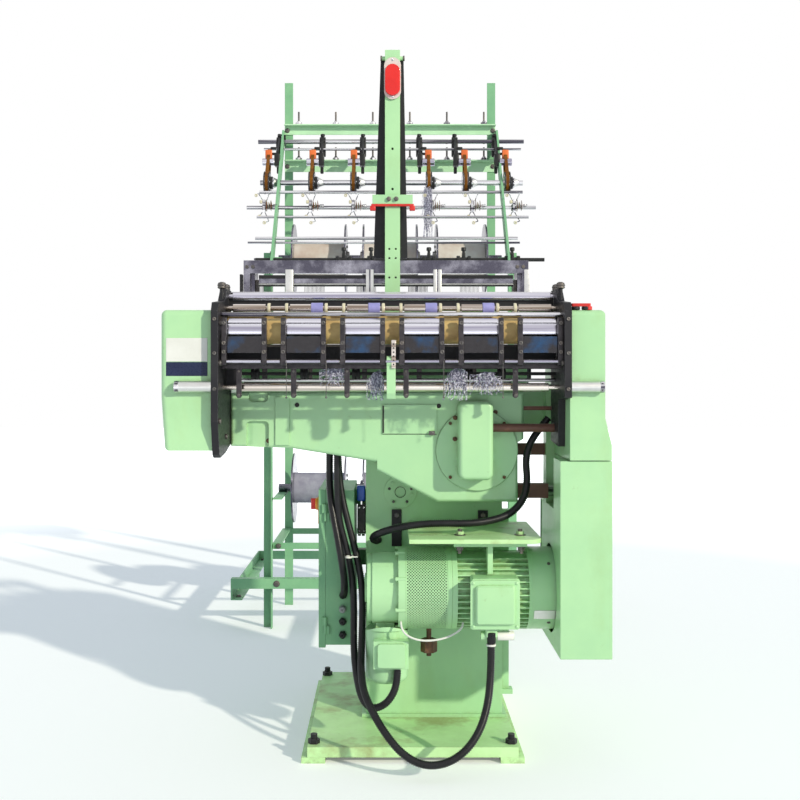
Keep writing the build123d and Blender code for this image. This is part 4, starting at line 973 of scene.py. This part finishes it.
def motorTrims():
    y, z = axisOf("fan_cover")
    painted, screws, slots, white, ring, black, part = meshes(7)
    for x, high in motorTrim["lidScrews"]:
        addDomeScrew(painted, (x, motorTrim["lidFront"], high), facing, 0.004, 0.0026)
    finishPiece("lidScrews", painted, "greenPaint")
    for x in (0.167, 0.307):  # bolts that hold the motor's feet to its plate
        addTurned(screws, (x, y - 0.08, 0.531), alongZ, [(0, 0), (0, 0.013), (0.0018, 0.013), (0.002, 0)], 22)
        addBar(screws, (x, y - 0.08, 0.538), (x, y - 0.08, 0.5455), 0.0052, 0.0008, 14)
    for dy, dz in onCircle(4, 0.0972, 0.5):
        addDomeScrew(screws, (0.375, y + dy, z + dz), (0, dy, dz), 0.0042, 0.0022)
    for x in (0.022, 0.24):
        addHex(screws, (x, -0.77, 0.548), facing, 0.0065, 0.005)
    for x in (0.166, 0.308):  # nuts under the motor's feet
        addBolt(screws, (x, y - 0.092, 0.507), below, 0.008, 0.01)
        addBar(screws, (x, y - 0.092, 0.498), (x, y - 0.092, 0.49), 0.0045, 0.0006, 12)
    finishPiece("motorScrews", screws, "darkSteel")
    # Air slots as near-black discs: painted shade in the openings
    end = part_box("fan_cover")[1][0] - 0.0006  # air slots in the fan cover's end
    for radius, count in motorTrim["slots"]:
        for dy, dz in onCircle(count, radius):
            addTurned(slots, (end, y + dy, z + dz), alongX, plainRing(0.0008, 0.0036), 10)
    finishPiece("fanSlots", slots, "holeShadeAndJoints")

    profile = [(0, 0), (0, 0.0108), (0.0365, 0.0108), (0.0385, 0.0095), (0.0385, 0)]
    addTurned(white, (0.25, -1.027, 0.3065), alongX, profile, 24)
    addTurned(white, (0.236, -1.0277, 0.2832), alongZ, plainRing(0.0044, 0.0112, 0.0085), 24)
    addHex(ring, (0.224, -1.027, 0.306), backX, 0.01, 0.0055, 0.2)
    profile = [(0, 0), (0, 0.0082), (0.005, 0.0078), (0.0072, 0.0058), (0.0075, 0)]
    addTurned(ring, (0.219, -1.027, 0.306), backX, profile, 20)
    profile = [(0, 0), (0, 0.008), (0.0015, 0.01), (0.024, 0.01), (0.024, 0)]
    addTurned(black, (0.236, -1.037, 0.3165), below, profile, 24)
    finishPiece("glandSleeves", white, "whitePlastic")
    finishPiece("glandNut", ring, "aluminium")
    finishPiece("glandConduitEnd", black, "conduitSkin")

    left, right, low, high, radius = motorTrim["plate"]  # a bare plate bent round the fan cover
    start, end = math.asin((low - z) / radius), math.asin((high - z) / radius)
    edge = [
        part.verts.new((x, y - radius * math.cos(start), z + radius * math.sin(start)))
        for x in (left, right)
    ]
    bmesh.ops.spin(
        part, geom=[*edge, part.edges.new(edge)], cent=(0, y, z), axis=(-1, 0, 0), dvec=(0, 0, 0),
        angle=end - start, steps=6, use_merge=False, use_duplicate=False,
    )
    bmesh.ops.recalc_face_normals(part, faces=part.faces)
    bmesh.ops.solidify(part, geom=list(part.faces), thickness=-0.0006)
    finishPiece("barePlate", part, "aluminium")


perforatedSleeve()
motorTrims()
print("drive dressed")

# Cabinet and lubrication pump
cabinetTrim = {
    "glandX": -0.113, "glands": ((0.318, "greyPlastic"), (0.287, "blackPlastic"), (0.254, "blackPlastic")),
}


def cabinetTrims():
    x, front = cabinetTrim["glandX"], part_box("control_cabinet")[0][1] + 0.0044
    profile = [
        (0, 0), (0, 0.0085), (0.006, 0.0085), (0.009, 0.007), (0.01, 0.0048), (0.01, 0.003), (0.006, 0),
    ]
    for n, (z, finish) in enumerate(cabinetTrim["glands"]):
        bm = bmesh.new()
        addHex(bm, (x, front + 0.0035, z), facing, 0.01, 0.006, 0.3 * n)
        addTurned(bm, (x, front - 0.002, z), facing, profile, 20)
        finishPiece(f"cabinetGland{n + 1}", bm, finish)

    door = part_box("cabinet_door")[0][0]
    plate = ((door - 0.0004, -0.7505, 0.5235), (door + 0.003, -0.7015, 0.5935))
    boxPiece("switchPlate", "amberPlastic", [plate], segments=2, body="door")
    knob, lever, ring = meshes(3)
    low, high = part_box("main_switch")
    y, z = axisOf("main_switch")
    profile = [(0, 0), (0, 0.016), (0.001, 0.0165), (0.007, 0.0155), (0.0082, 0.014), (0.0082, 0)]
    addTurned(knob, (high[0], y, z), backX, profile, 36)
    addBlock(lever, (low[0], y - 0.0042, z - 0.0142), (high[0] - 0.006, y + 0.0042, z + 0.0142), 0.0022, 3)
    finishPiece("switchDisc", knob, "amberPlastic", "switch", stands="main_switch")
    finishPiece("switchLever", lever, "redPlastic", "switch")
    addTurned(ring, (door - 0.002, -0.726, 0.572), alongX, plainRing(0.0018, 0.0195, 0.0162), 28)
    face = door + 0.004
    for z in (0.3, 0.44):
        addTurned(
            ring, (face, -0.58, z), backX,
            [(0, 0), (0, 0.007), (0.0018, 0.007), (0.0024, 0.005), (0.0024, 0)], 20,
        )
        addBlock(ring, (face - 0.0035, -0.585, z - 0.0008), (face - 0.002, -0.575, z + 0.0008), 0.0002, 1)
    finishPiece("doorLocks", ring, "darkSteel", "door")


pumpLook = {"x": (-0.078, -0.056), "y": (-0.758, -0.73), "body": (0.5, 0.572), "cap": (0.582, 0.621)}


def oilPump():
    body, fittings, cap = meshes(3)
    (left, right), (front, back), (low, high), (capLow, capHigh) = pumpLook.values()
    addBlock(body, (left, front, low), (right, back, high), 0.0025, 3)
    addBlock(
        body, (left + 0.002, front - 0.0006, low + 0.01),
        (right - 0.002, front + 0.001, high - 0.022), 0.0004, 1,
    )
    y = (front + back) / 2
    for x in ((left + right) / 2 - 0.006, (left + right) / 2 + 0.004):
        addBar(fittings, (x, y, low - 0.008), (x, y, low + 0.001), 0.0035, 0.0006, 12)
        addHex(fittings, (x, y, low - 0.004), below, 0.0045, 0.0035)
    x = left + 0.01
    addBar(fittings, (x, -0.745, high - 0.0005), (x, -0.745, capLow + 0.0005), 0.0068, 0.0008, 20)
    for z in (low + 0.006, high - 0.006):
        for x in (left + 0.005, right - 0.005):
            addSocketScrew(fittings, (x, front + 0.0002, z), facing, 0.0022, 0.002)
    addBlock(cap, (left - 0.001, front + 0.001, capLow), (right - 0.002, back - 0.003, capHigh), 0.0035, 3)
    finishPiece("pumpBody", body, "blackPlastic", stands="oil_pump")
    finishPiece("pumpFittings", fittings, "brightSteel")
    finishPiece("pumpCap", cap, "bluePlastic")


cabinetTrims()
oilPump()
print("cabinet dressed")

# Warning lamp on its post. base and dome: low, high, radius of the ends
lampLook = {
    "x": 0.01125, "front": -0.815, "base": (1.587, 1.691, 0.021),
    "dome": (1.595, 1.673, 0.0188), "deep": 0.027,
}


def stretchHigh(part, straight):  # moves the two halves of a round shape apart
    for vert in part.verts:
        vert.co.z += straight if vert.co.z > 0 else -straight


def warningLamp():
    base, dome, screws, strip, bolts, part, ball = meshes(7)
    x, front = lampLook["x"], lampLook["front"]
    low, high, radius = lampLook["base"]
    bmesh.ops.create_cone(part, cap_ends=True, segments=42, radius1=radius, radius2=radius, depth=0.0058)
    soften(part, [e for e in part.edges if all(v.co.z > 0 for v in e.verts)], 0.0014, 2)
    bmesh.ops.rotate(part, cent=(0, 0, 0), matrix=Matrix.Rotation(math.radians(90), 3, "X"), verts=part.verts)
    stretchHigh(part, (high - low) / 2 - radius)
    join(base, part, (x, front - 0.0029, (low + high) / 2))
    low, high, radius = lampLook["dome"]
    bmesh.ops.create_uvsphere(ball, u_segments=40, v_segments=23, radius=radius)
    stretchHigh(ball, (high - low) / 2 - radius)
    bmesh.ops.scale(ball, vec=(1, lampLook["deep"] / radius, 1), verts=ball.verts)
    cut = bmesh.ops.bisect_plane(
        ball, geom=[*ball.verts, *ball.edges, *ball.faces],
        plane_co=(0, 0.006, 0), plane_no=(0, 1, 0), clear_outer=True,
    )["geom_cut"]
    bmesh.ops.holes_fill(ball, edges=[item for item in cut if isinstance(item, bmesh.types.BMEdge)])
    join(dome, ball, (x, front - 0.0075, (low + high) / 2))
    for z in (1.5935, 1.6845):
        addDomeScrew(screws, (x, front - 0.0055, z), facing, 0.0035, 0.0022)
    addBlock(strip, (x - 0.053, -0.8225, 1.321), (x + 0.053, -0.815, 1.327), 0.0008, 1)
    for side in (-1, 1):
        end = x + side * 0.049
        addBlock(strip, (end - 0.007, -0.8225, 1.31), (end + 0.007, -0.815, 1.323), 0.002)
        addHex(bolts, (x + side * 0.0262, -0.803, 1.693), (side, 0, 0), 0.007, 0.0042)
        addBolt(bolts, (x + side * 0.009, -0.825, 1.339), facing, 0.0042, 0.004)
    finishPiece("lampBase", base, "pinkPlastic", stands="warning_lamp")
    finishPiece("lampDome", dome, "redLens")
    finishPiece("lampScrews", screws, "brightSteel")
    finishPiece("postStrip", strip, "redPlastic")
    finishPiece("postBolts", bolts, "darkSteel")


warningLamp()
print("post dressed")

# Heald wires, rails and bolts on the harness
healdLook = {
    "wires": 15, "pitch": 0.0034, "half": 0.00045,
    "eye": (0.0009, 0.003), "z": (0.998, 1.133), "ends": (-0.331, 0.321),
}


def healdWires():
    low, high = healdLook["z"]
    left, right = healdLook["ends"]
    half, middle = healdLook["half"], (low + high) / 2
    wide, tall = healdLook["eye"]
    for body, y, shift in (("front_healds", -0.729, 0), ("rear_healds", -0.709, 0.5)):
        bm = bmesh.new()
        for head in heads:
            for n in range(healdLook["wires"]):
                x = head + healdLook["pitch"] * (n - (healdLook["wires"] - 1) / 2 + shift)
                if left < x < right:
                    addBlock(bm, (x - half, y - half, low), (x + half, y + half, high), 0)
                    addBlock(bm, (x - wide, y - wide, middle - tall), (x + wide, y + wide, middle + tall), 0)
        finishPiece(body.replace("_healds", "HealdWires"), bm, "darkSteel", body)


harnessTrim = {
    "front": -0.763, "z": 1.1765, "bolts": (-0.35, 0.335), "rails": (-0.328, 0.318), "strips": (
        (-0.26, -0.24), (-0.056, -0.0475), (-0.0445, -0.036), (0.115, 0.124), (0.127, 0.1355), (0.345, 0.364),
    ),
}


def harnessBolts():
    bm, bright = meshes(2)
    for x in harnessTrim["bolts"]:
        for side in (-0.0075, 0.0075):
            addHex(bm, (x + side, harnessTrim["front"], harnessTrim["z"]), facing, 0.005, 0.0038)
    finishPiece("harnessBolts", bm, "darkSteel")
    left, right = harnessTrim["rails"]
    bm = bmesh.new()
    for x in (-0.372, 0.36):
        addBlock(bm, (x - 0.004, -0.762, 0.885), (x + 0.003, -0.7425, 1.158), 0.001, 1)
    for low, high in ((1.1475, 1.156), (1.127, 1.13)):
        addBlock(bm, (left, -0.76, low), (right, -0.756, high), 0.0006, 1)
    finishPiece("harnessSideStrips", bm, "blackPaint")
    addBar(bright, (left, -0.759, 1.1325), (right, -0.759, 1.1325), 0.0022, 0.0003, 10)
    for start, end in harnessTrim["strips"]:
        addBlock(bright, (start, -0.7645, 1.0), (end, -0.7625, 1.17), 0.0008)
    boxPiece("harnessRails", "lilacSteel", [((left, -0.759, 1.135), (right, -0.756, 1.1475))])
    finishPiece("harnessStrips", bright, "aluminium")


healdWires()
harnessBolts()
print("harness dressed")

# Warp stand: feeders, tensioners, collars, pins and wound beams
standLook = {
    "middle": 0.008, "half": 0.419, "leanY": 0.3, "leanZ": 1.305, "lean": 1.277, "feederZ": 1.618,
    "feeders": (-0.42, -0.253, -0.097, 0.121, 0.258, 0.413), "beltGap": 0.032, "topZ": 1.742, "topY": 0.62,
}


def legY(z):
    return standLook["leanY"] + (z - standLook["leanZ"]) / standLook["lean"]


feederLook = {
    "spool": 0.0142, "spoolWide": 0.046, "rim": 0.0424, "hub": 0.0362, "cone": (0.019, 0.012, 0.012),
}


def feederTrims():
    rims, cones, spools, silver, arms = meshes(5)
    radius, spoolWide, rim, hub, (wide, narrow, long) = feederLook.values()
    y, z, hangY = legY(standLook["feederZ"]), standLook["feederZ"], legY(1.803)
    topY, topZ = standLook["topY"], standLook["topZ"]
    front, spoolZ = topY - 0.019, topZ - 0.038
    for x in standLook["feeders"]:
        outward = math.copysign(1, x - standLook["middle"])
        belt = x + outward * standLook["beltGap"]
        for start in (belt - 0.0113, belt + 0.0077):
            addTurned(rims, (start, y, z), alongX, softRing(0.0036, rim, 0.0008, hub), 48)
        for dy, dz in onCircle(6, 0.029):
            for side in (-0.0116, 0.0116):
                profile = [(0, 0), (0, 0.0028), (0.0012, 0.0022), (0.0014, 0)]
                addTurned(silver, (belt + side, y + dy, z + dz), (side, 0, 0), profile, 10)
        profile = [
            (0, 0.0108), (0, 0.0225), (0.0008, 0.0238), (0.009, 0.0238), (0.01, 0.0225), (0.01, 0.0108),
        ]
        addTurned(rims, (belt + 0.0114, y, z), alongX, profile, 32)
        profile = [
            (0.01, 0.0108), (0.01, wide - 0.0008), (0.0108, wide), (0.016, wide), (0.0168, wide - 0.0008),
            (0.0168 + long, narrow), (0.02 + long, narrow), (0.02 + long, 0.0108),
        ]
        addTurned(cones, (belt + 0.0114, y, z), alongX, profile, 32)
        addBlock(
            spools, (belt - 0.0128, front - 0.0115, topZ - 0.024),
            (belt + 0.0128, front - 0.0005, topZ + 0.01), 0.0028, 3,
        )
        spool = (belt - spoolWide / 2, front - 0.013, spoolZ)
        addTurned(silver, spool, alongX, softRing(spoolWide, radius, 0.001), 28)
        addBar(silver, (belt, *spool[1:]), (x - outward * 0.004, *spool[1:]), 0.0034, 0.0005, 12)
        addBlock(
            arms, (x - 0.0105, front - 0.02, topZ - 0.052), (x + 0.0105, topY + 0.003, topZ - 0.006), 0.0038,
        )
        low, high = sorted((x, belt))
        addBlock(
            arms, (low + 0.004, topY - 0.006, topZ + 0.016),
            (high - 0.006, topY + 0.006, topZ + 0.026), 0.0026,
        )
        profile = [
            (0, 0.0092), (0, 0.016), (0.0015, 0.0178), (0.0215, 0.0178), (0.023, 0.016), (0.023, 0.0092),
        ]
        addTurned(arms, (x - 0.0115, hangY, 1.803), alongX, profile, 28)
        addBlock(arms, (x - 0.0125, hangY - 0.022, 1.742), (x + 0.0125, hangY - 0.002, 1.796), 0.0042)
        profile = [
            (0, 0), (0, 0.005), (0.004, 0.005), (0.005, 0.0085),
            (0.012, 0.0085), (0.0135, 0.007), (0.0135, 0),
        ]
        addTurned(arms, (x, hangY, 1.819), alongZ, profile, 20)
        addBlock(arms, (x - 0.0062, hangY - 0.056, 1.67), (x + 0.0062, hangY - 0.042, 1.73), 0.003)
        profile = [(0, 0), (0, 0.0085), (0.0016, 0.0085), (0.0024, 0.0048), (0.0056, 0.0044), (0.006, 0)]
        addTurned(silver, (belt + outward * 0.0075, topY, topZ), (outward, 0, 0), profile, 18)
    finishPiece("wheelRims", rims, "blackPlastic", "feeder")
    finishPiece("wheelCones", cones, "aluminium", "feeder")
    finishPiece("feederArms", arms, "blackPlastic")
    finishPiece("feederSpools", spools, "orangePlastic")
    finishPiece("feederFittings", silver, "drumSteel")


# discs: bowls as place along the rod and radius; wires and eyes: places from the rod's middle
tensionLook = {
    "rod": 1.513, "x": (-0.454, -0.284, -0.128, 0.16, 0.3075, 0.459),
    "low": 1.305, "blackRod": (-0.466, 0.55),
    "collars": ((-0.184, -0.127), (-0.073, -0.046), (0.119, 0.1685), (0.241, 0.291), (0.41, 0.464)),
    "discs": ((0.0105, 0.0225), (0.0185, 0.014), (0.0265, 0.0195)),
    "wires": (
        ((-0.002, -0.01, 0.02), (-0.018, -0.03, 0.048)), ((-0.018, -0.03, 0.048), (-0.026, -0.032, 0.04)),
        ((0.004, -0.012, -0.018), (0.02, -0.034, -0.054)), ((0.02, -0.034, -0.054), (0.004, -0.036, -0.06)),
        ((-0.004, -0.012, -0.016), (-0.014, -0.03, -0.036)), ((0.01, -0.012, 0.024), (0.022, -0.028, 0.05)),
    ),
    "eyes": ((-0.026, -0.032, 0.04), (0.004, -0.036, -0.06), (-0.014, -0.03, -0.036)),
}


def tensioners():
    brown, cream, silver, black = meshes(4)
    y, z = legY(tensionLook["rod"]), tensionLook["rod"]
    ring = [
        (-0.002, 0.0022), (-0.002, 0.0052), (0, 0.0062), (0.002, 0.0052), (0.002, 0.0022), (-0.002, 0.0022),
    ]
    spring = [(0, 0)] + [(0.0105 * n / 12, 0.0056 if n % 2 else 0.0044) for n in range(13)] + [(0.0105, 0)]
    for x in tensionLook["x"]:
        addBlock(black, (x - 0.0065, y - 0.011, z - 0.011), (x + 0.0065, y + 0.011, z + 0.011), 0.002)
        pin = (y - 0.023, z + 0.004)
        for n, (at, size) in enumerate(tensionLook["discs"]):
            bowl = [
                (0, 0), (0, size * 0.94), (0.0012, size), (0.0034, size * 0.55), (0.0044, 0.006), (0.0044, 0),
            ]
            addTurned(cream if n % 2 else brown, (x + at, *pin), alongX, bowl, 28)
        addBar(silver, (x, *pin), (x + 0.05, *pin), 0.0026, 0.0004, 10)
        addTurned(silver, (x + 0.0345, *pin), alongX, spring, 14)
        addHex(silver, (x + 0.045, *pin), alongX, 0.0056, 0.004)
        addBlock(silver, (x - 0.004, y - 0.024, z - 0.02), (x + 0.007, y - 0.01, z + 0.026), 0.002)
        addBlock(cream, (x - 0.015, y - 0.024, z + 0.012), (x - 0.005, y - 0.014, z + 0.024), 0.0025)
        for ends in tensionLook["wires"]:
            addBar(silver, *[(x + dx, y + dy, z + dz) for dx, dy, dz in ends], 0.0017, 0.0002, 8)
        for dx, dy, dz in tensionLook["eyes"]:
            addTurned(cream, (x + dx, y + dy, z + dz), alongY, ring, 18)
        addDomeScrew(silver, (x, y - 0.011, z), facing, 0.0036, 0.0024)
    y, z = legY(tensionLook["low"]), tensionLook["low"]
    left, right = tensionLook["blackRod"]
    addTurned(black, (left, y, z), alongX, plainRing(right - left, 0.0066, 0.005), 20)
    for left, right in tensionLook["collars"]:
        long, middle = right - left, (left + right) / 2
        profile = [
            (0, 0.0062), (0, 0.0125), (0.0012, 0.014), (0.011, 0.014), (0.012, 0.009), (long - 0.012, 0.009),
            (long - 0.011, 0.014), (long - 0.0012, 0.014), (long, 0.0125), (long, 0.0062),
        ]
        addTurned(black, (left, y, z), alongX, profile, 28)
        addBlock(black, (middle - 0.006, y - 0.007, z), (middle + 0.006, y + 0.007, z + 0.024), 0.002)
        profile = [
            (0, 0), (0, 0.005), (0.008, 0.005), (0.01, 0.0085), (0.019, 0.0085), (0.0215, 0.0068), (0.022, 0),
        ]
        addTurned(black, (middle, y, z + 0.022), alongZ, profile, 18)
    finishPiece("tensionDiscs", brown, "brownGlaze")
    finishPiece("threadEyes", cream, "creamPlastic")
    finishPiece("tensionWires", silver, "brightSteel")
    finishPiece("rodCollars", black, "blackPlastic")


pinLook = {"tops": (1.872, 1.734), "y": 0.704, "first": 0.013, "pitch": 0.144}


def pinNuts():
    nuts, hooks = meshes(2)
    profile = [(0, 0.003), (0, 0.0124), (0.008, 0.0124), (0.0088, 0.0115), (0.0088, 0.003)]
    for top in pinLook["tops"]:
        for n in range(6):
            x = pinLook["first"] + pinLook["pitch"] * (n - 2.5)
            addTurned(nuts, (x, pinLook["y"], top), alongZ, profile, 24)
            addHex(nuts, (x, pinLook["y"], top + 0.0088), alongZ, 0.0072, 0.0055)
    for x, side in ((-0.403, 0.003), (0.419, -0.003)):
        addBar(hooks, (x, 0.718, 1.8), (x + side, 0.69, 1.8), 0.0042, 0.0006, 12)
        addBar(hooks, (x + side, 0.692, 1.797), (x + side, 0.68, 1.828), 0.0042, 0.0006, 12)
        addHex(nuts, (x, 0.7165, 1.8), facing, 0.0075, 0.0055)
    finishPiece("pinNuts", nuts, "brightSteel")
    finishPiece("postHooks", hooks, "blackPlastic")


beamLook = {"spans": ((-0.355, -0.155), (-0.094, 0.11), (0.178, 0.366)), "flange": 0.006, "rings": 40}


def woundBeams(name, node, body, radius, finish):
    y, z = axisOf(node)
    rings = beamLook["rings"]
    for n, (left, right) in enumerate(beamLook["spans"]):
        bm = bmesh.new()
        start = left + beamLook["flange"]
        long = right - beamLook["flange"] - start
        profile = [(0, radius - 0.003)]
        for k in range(rings + 1):
            profile.append((long * k / rings, radius - (0.0004 if k % 2 else 0) - random.uniform(0, 0.0004)))
        profile.append((long, radius - 0.003))
        addTurned(bm, (start, y, z), alongX, profile, 56)
        for x, side in ((left, -1), (right, 1)):
            addTurned(
                bm, (x, y, z), (side, 0, 0), [(0, 0.0155), (0, 0.026), (0.01, 0.024), (0.011, 0.0155)], 28,
            )
        finishPiece(f"{name}{n + 1}", bm, finish, body)
    bolts = bmesh.new()
    for left, right in beamLook["spans"]:
        for x, side in ((left, -1), (right, 1)):
            for dy, dz in onCircle(6, 0.046, 0.5):
                addSocketScrew(bolts, (x, y + dy, z + dz), (side, 0, 0), 0.005, 0.004)
            addSocketScrew(bolts, (x + side * 0.006, y, z + 0.024), alongZ, 0.004, 0.0036)
    finishPiece(f"{name}Bolts", bolts, "darkSteel", body)


def standBolts():
    bm = bmesh.new()
    left, right = standLook["middle"] - standLook["half"], standLook["middle"] + standLook["half"]
    for x, side in ((left, -1), (right, 1)):
        for y, at in ((0.34, x), (0.738, x - side * 0.008)):
            for z in (0.289, 0.457, 1.317):
                addBolt(bm, (at, y, z), (side, 0, 0), 0.0075, 0.006)
        for z in (1.29, 1.33):
            addBolt(bm, (x, legY(z), z), (side, 0, 0), 0.007, 0.006)
        addBolt(bm, (x - side * 0.02, 0.29, 0.1665), facing, 0.0085, 0.0065)
        addBolt(bm, (x - side * 0.02, 0.352, 0.289), facing, 0.007, 0.0055)
    for x in (-0.0185, 0.2515):
        addBolt(bm, (x, -0.4385, 0.199), alongY, 0.0085, 0.0065)
        addBolt(bm, (x, 0.28, 0.184), alongZ, 0.0085, 0.0065)
    for z in (1.852, 1.712):
        for x in (left + 0.018, right - 0.018):
            addBolt(bm, (x, 0.716, z), facing, 0.007, 0.0055)
    for x in (-0.5295, 0.5295):
        for y in (0.33, 1.07):
            addBolt(bm, (x, y, 0.114), alongZ, 0.0075, 0.006)
    finishPiece("standBolts", bm, "darkSteel")


feederTrims()
tensioners()
pinNuts()
woundBeams("upperYarn", "upper_warp_beams", "upper_beams", 0.0635, "yarnWound")
woundBeams("lowerYarn", "lower_warp_beams", "lower_beams", 0.057, "greyYarn")
standBolts()
print("stand dressed")

# White tie round two conduits
tieLook = {"centre": (-0.0975, -0.8565, 0.46), "radius": 0.0128, "wide": 1.85, "height": 0.0045, "turn": 0.08}


def cableTie():
    part, bm = meshes(2)
    (x, y, z), radius, wide, height, turn = tieLook.values()
    rows = plainRing(height, radius, radius - 0.0014) + [(0, radius - 0.0014)]
    addTurned(part, (0, 0, -height / 2), alongZ, rows, 36)
    bmesh.ops.scale(part, vec=(wide, 1, 1), verts=part.verts)
    join(bm, part, (x, y, z), (turn, 0, 1))
    front = y - radius
    addBlock(bm, (x - 0.004, front - 0.0045, z - 0.0036), (x + 0.004, front + 0.001, z + 0.0036), 0.0008, 1)
    addBlock(bm, (x + 0.003, front - 0.0035, z - 0.0016), (x + 0.024, front - 0.002, z + 0.0016), 0.0004, 1)
    finishPiece("cableTie", bm, "whitePlastic")


cableTie()
print("cable tie ready")
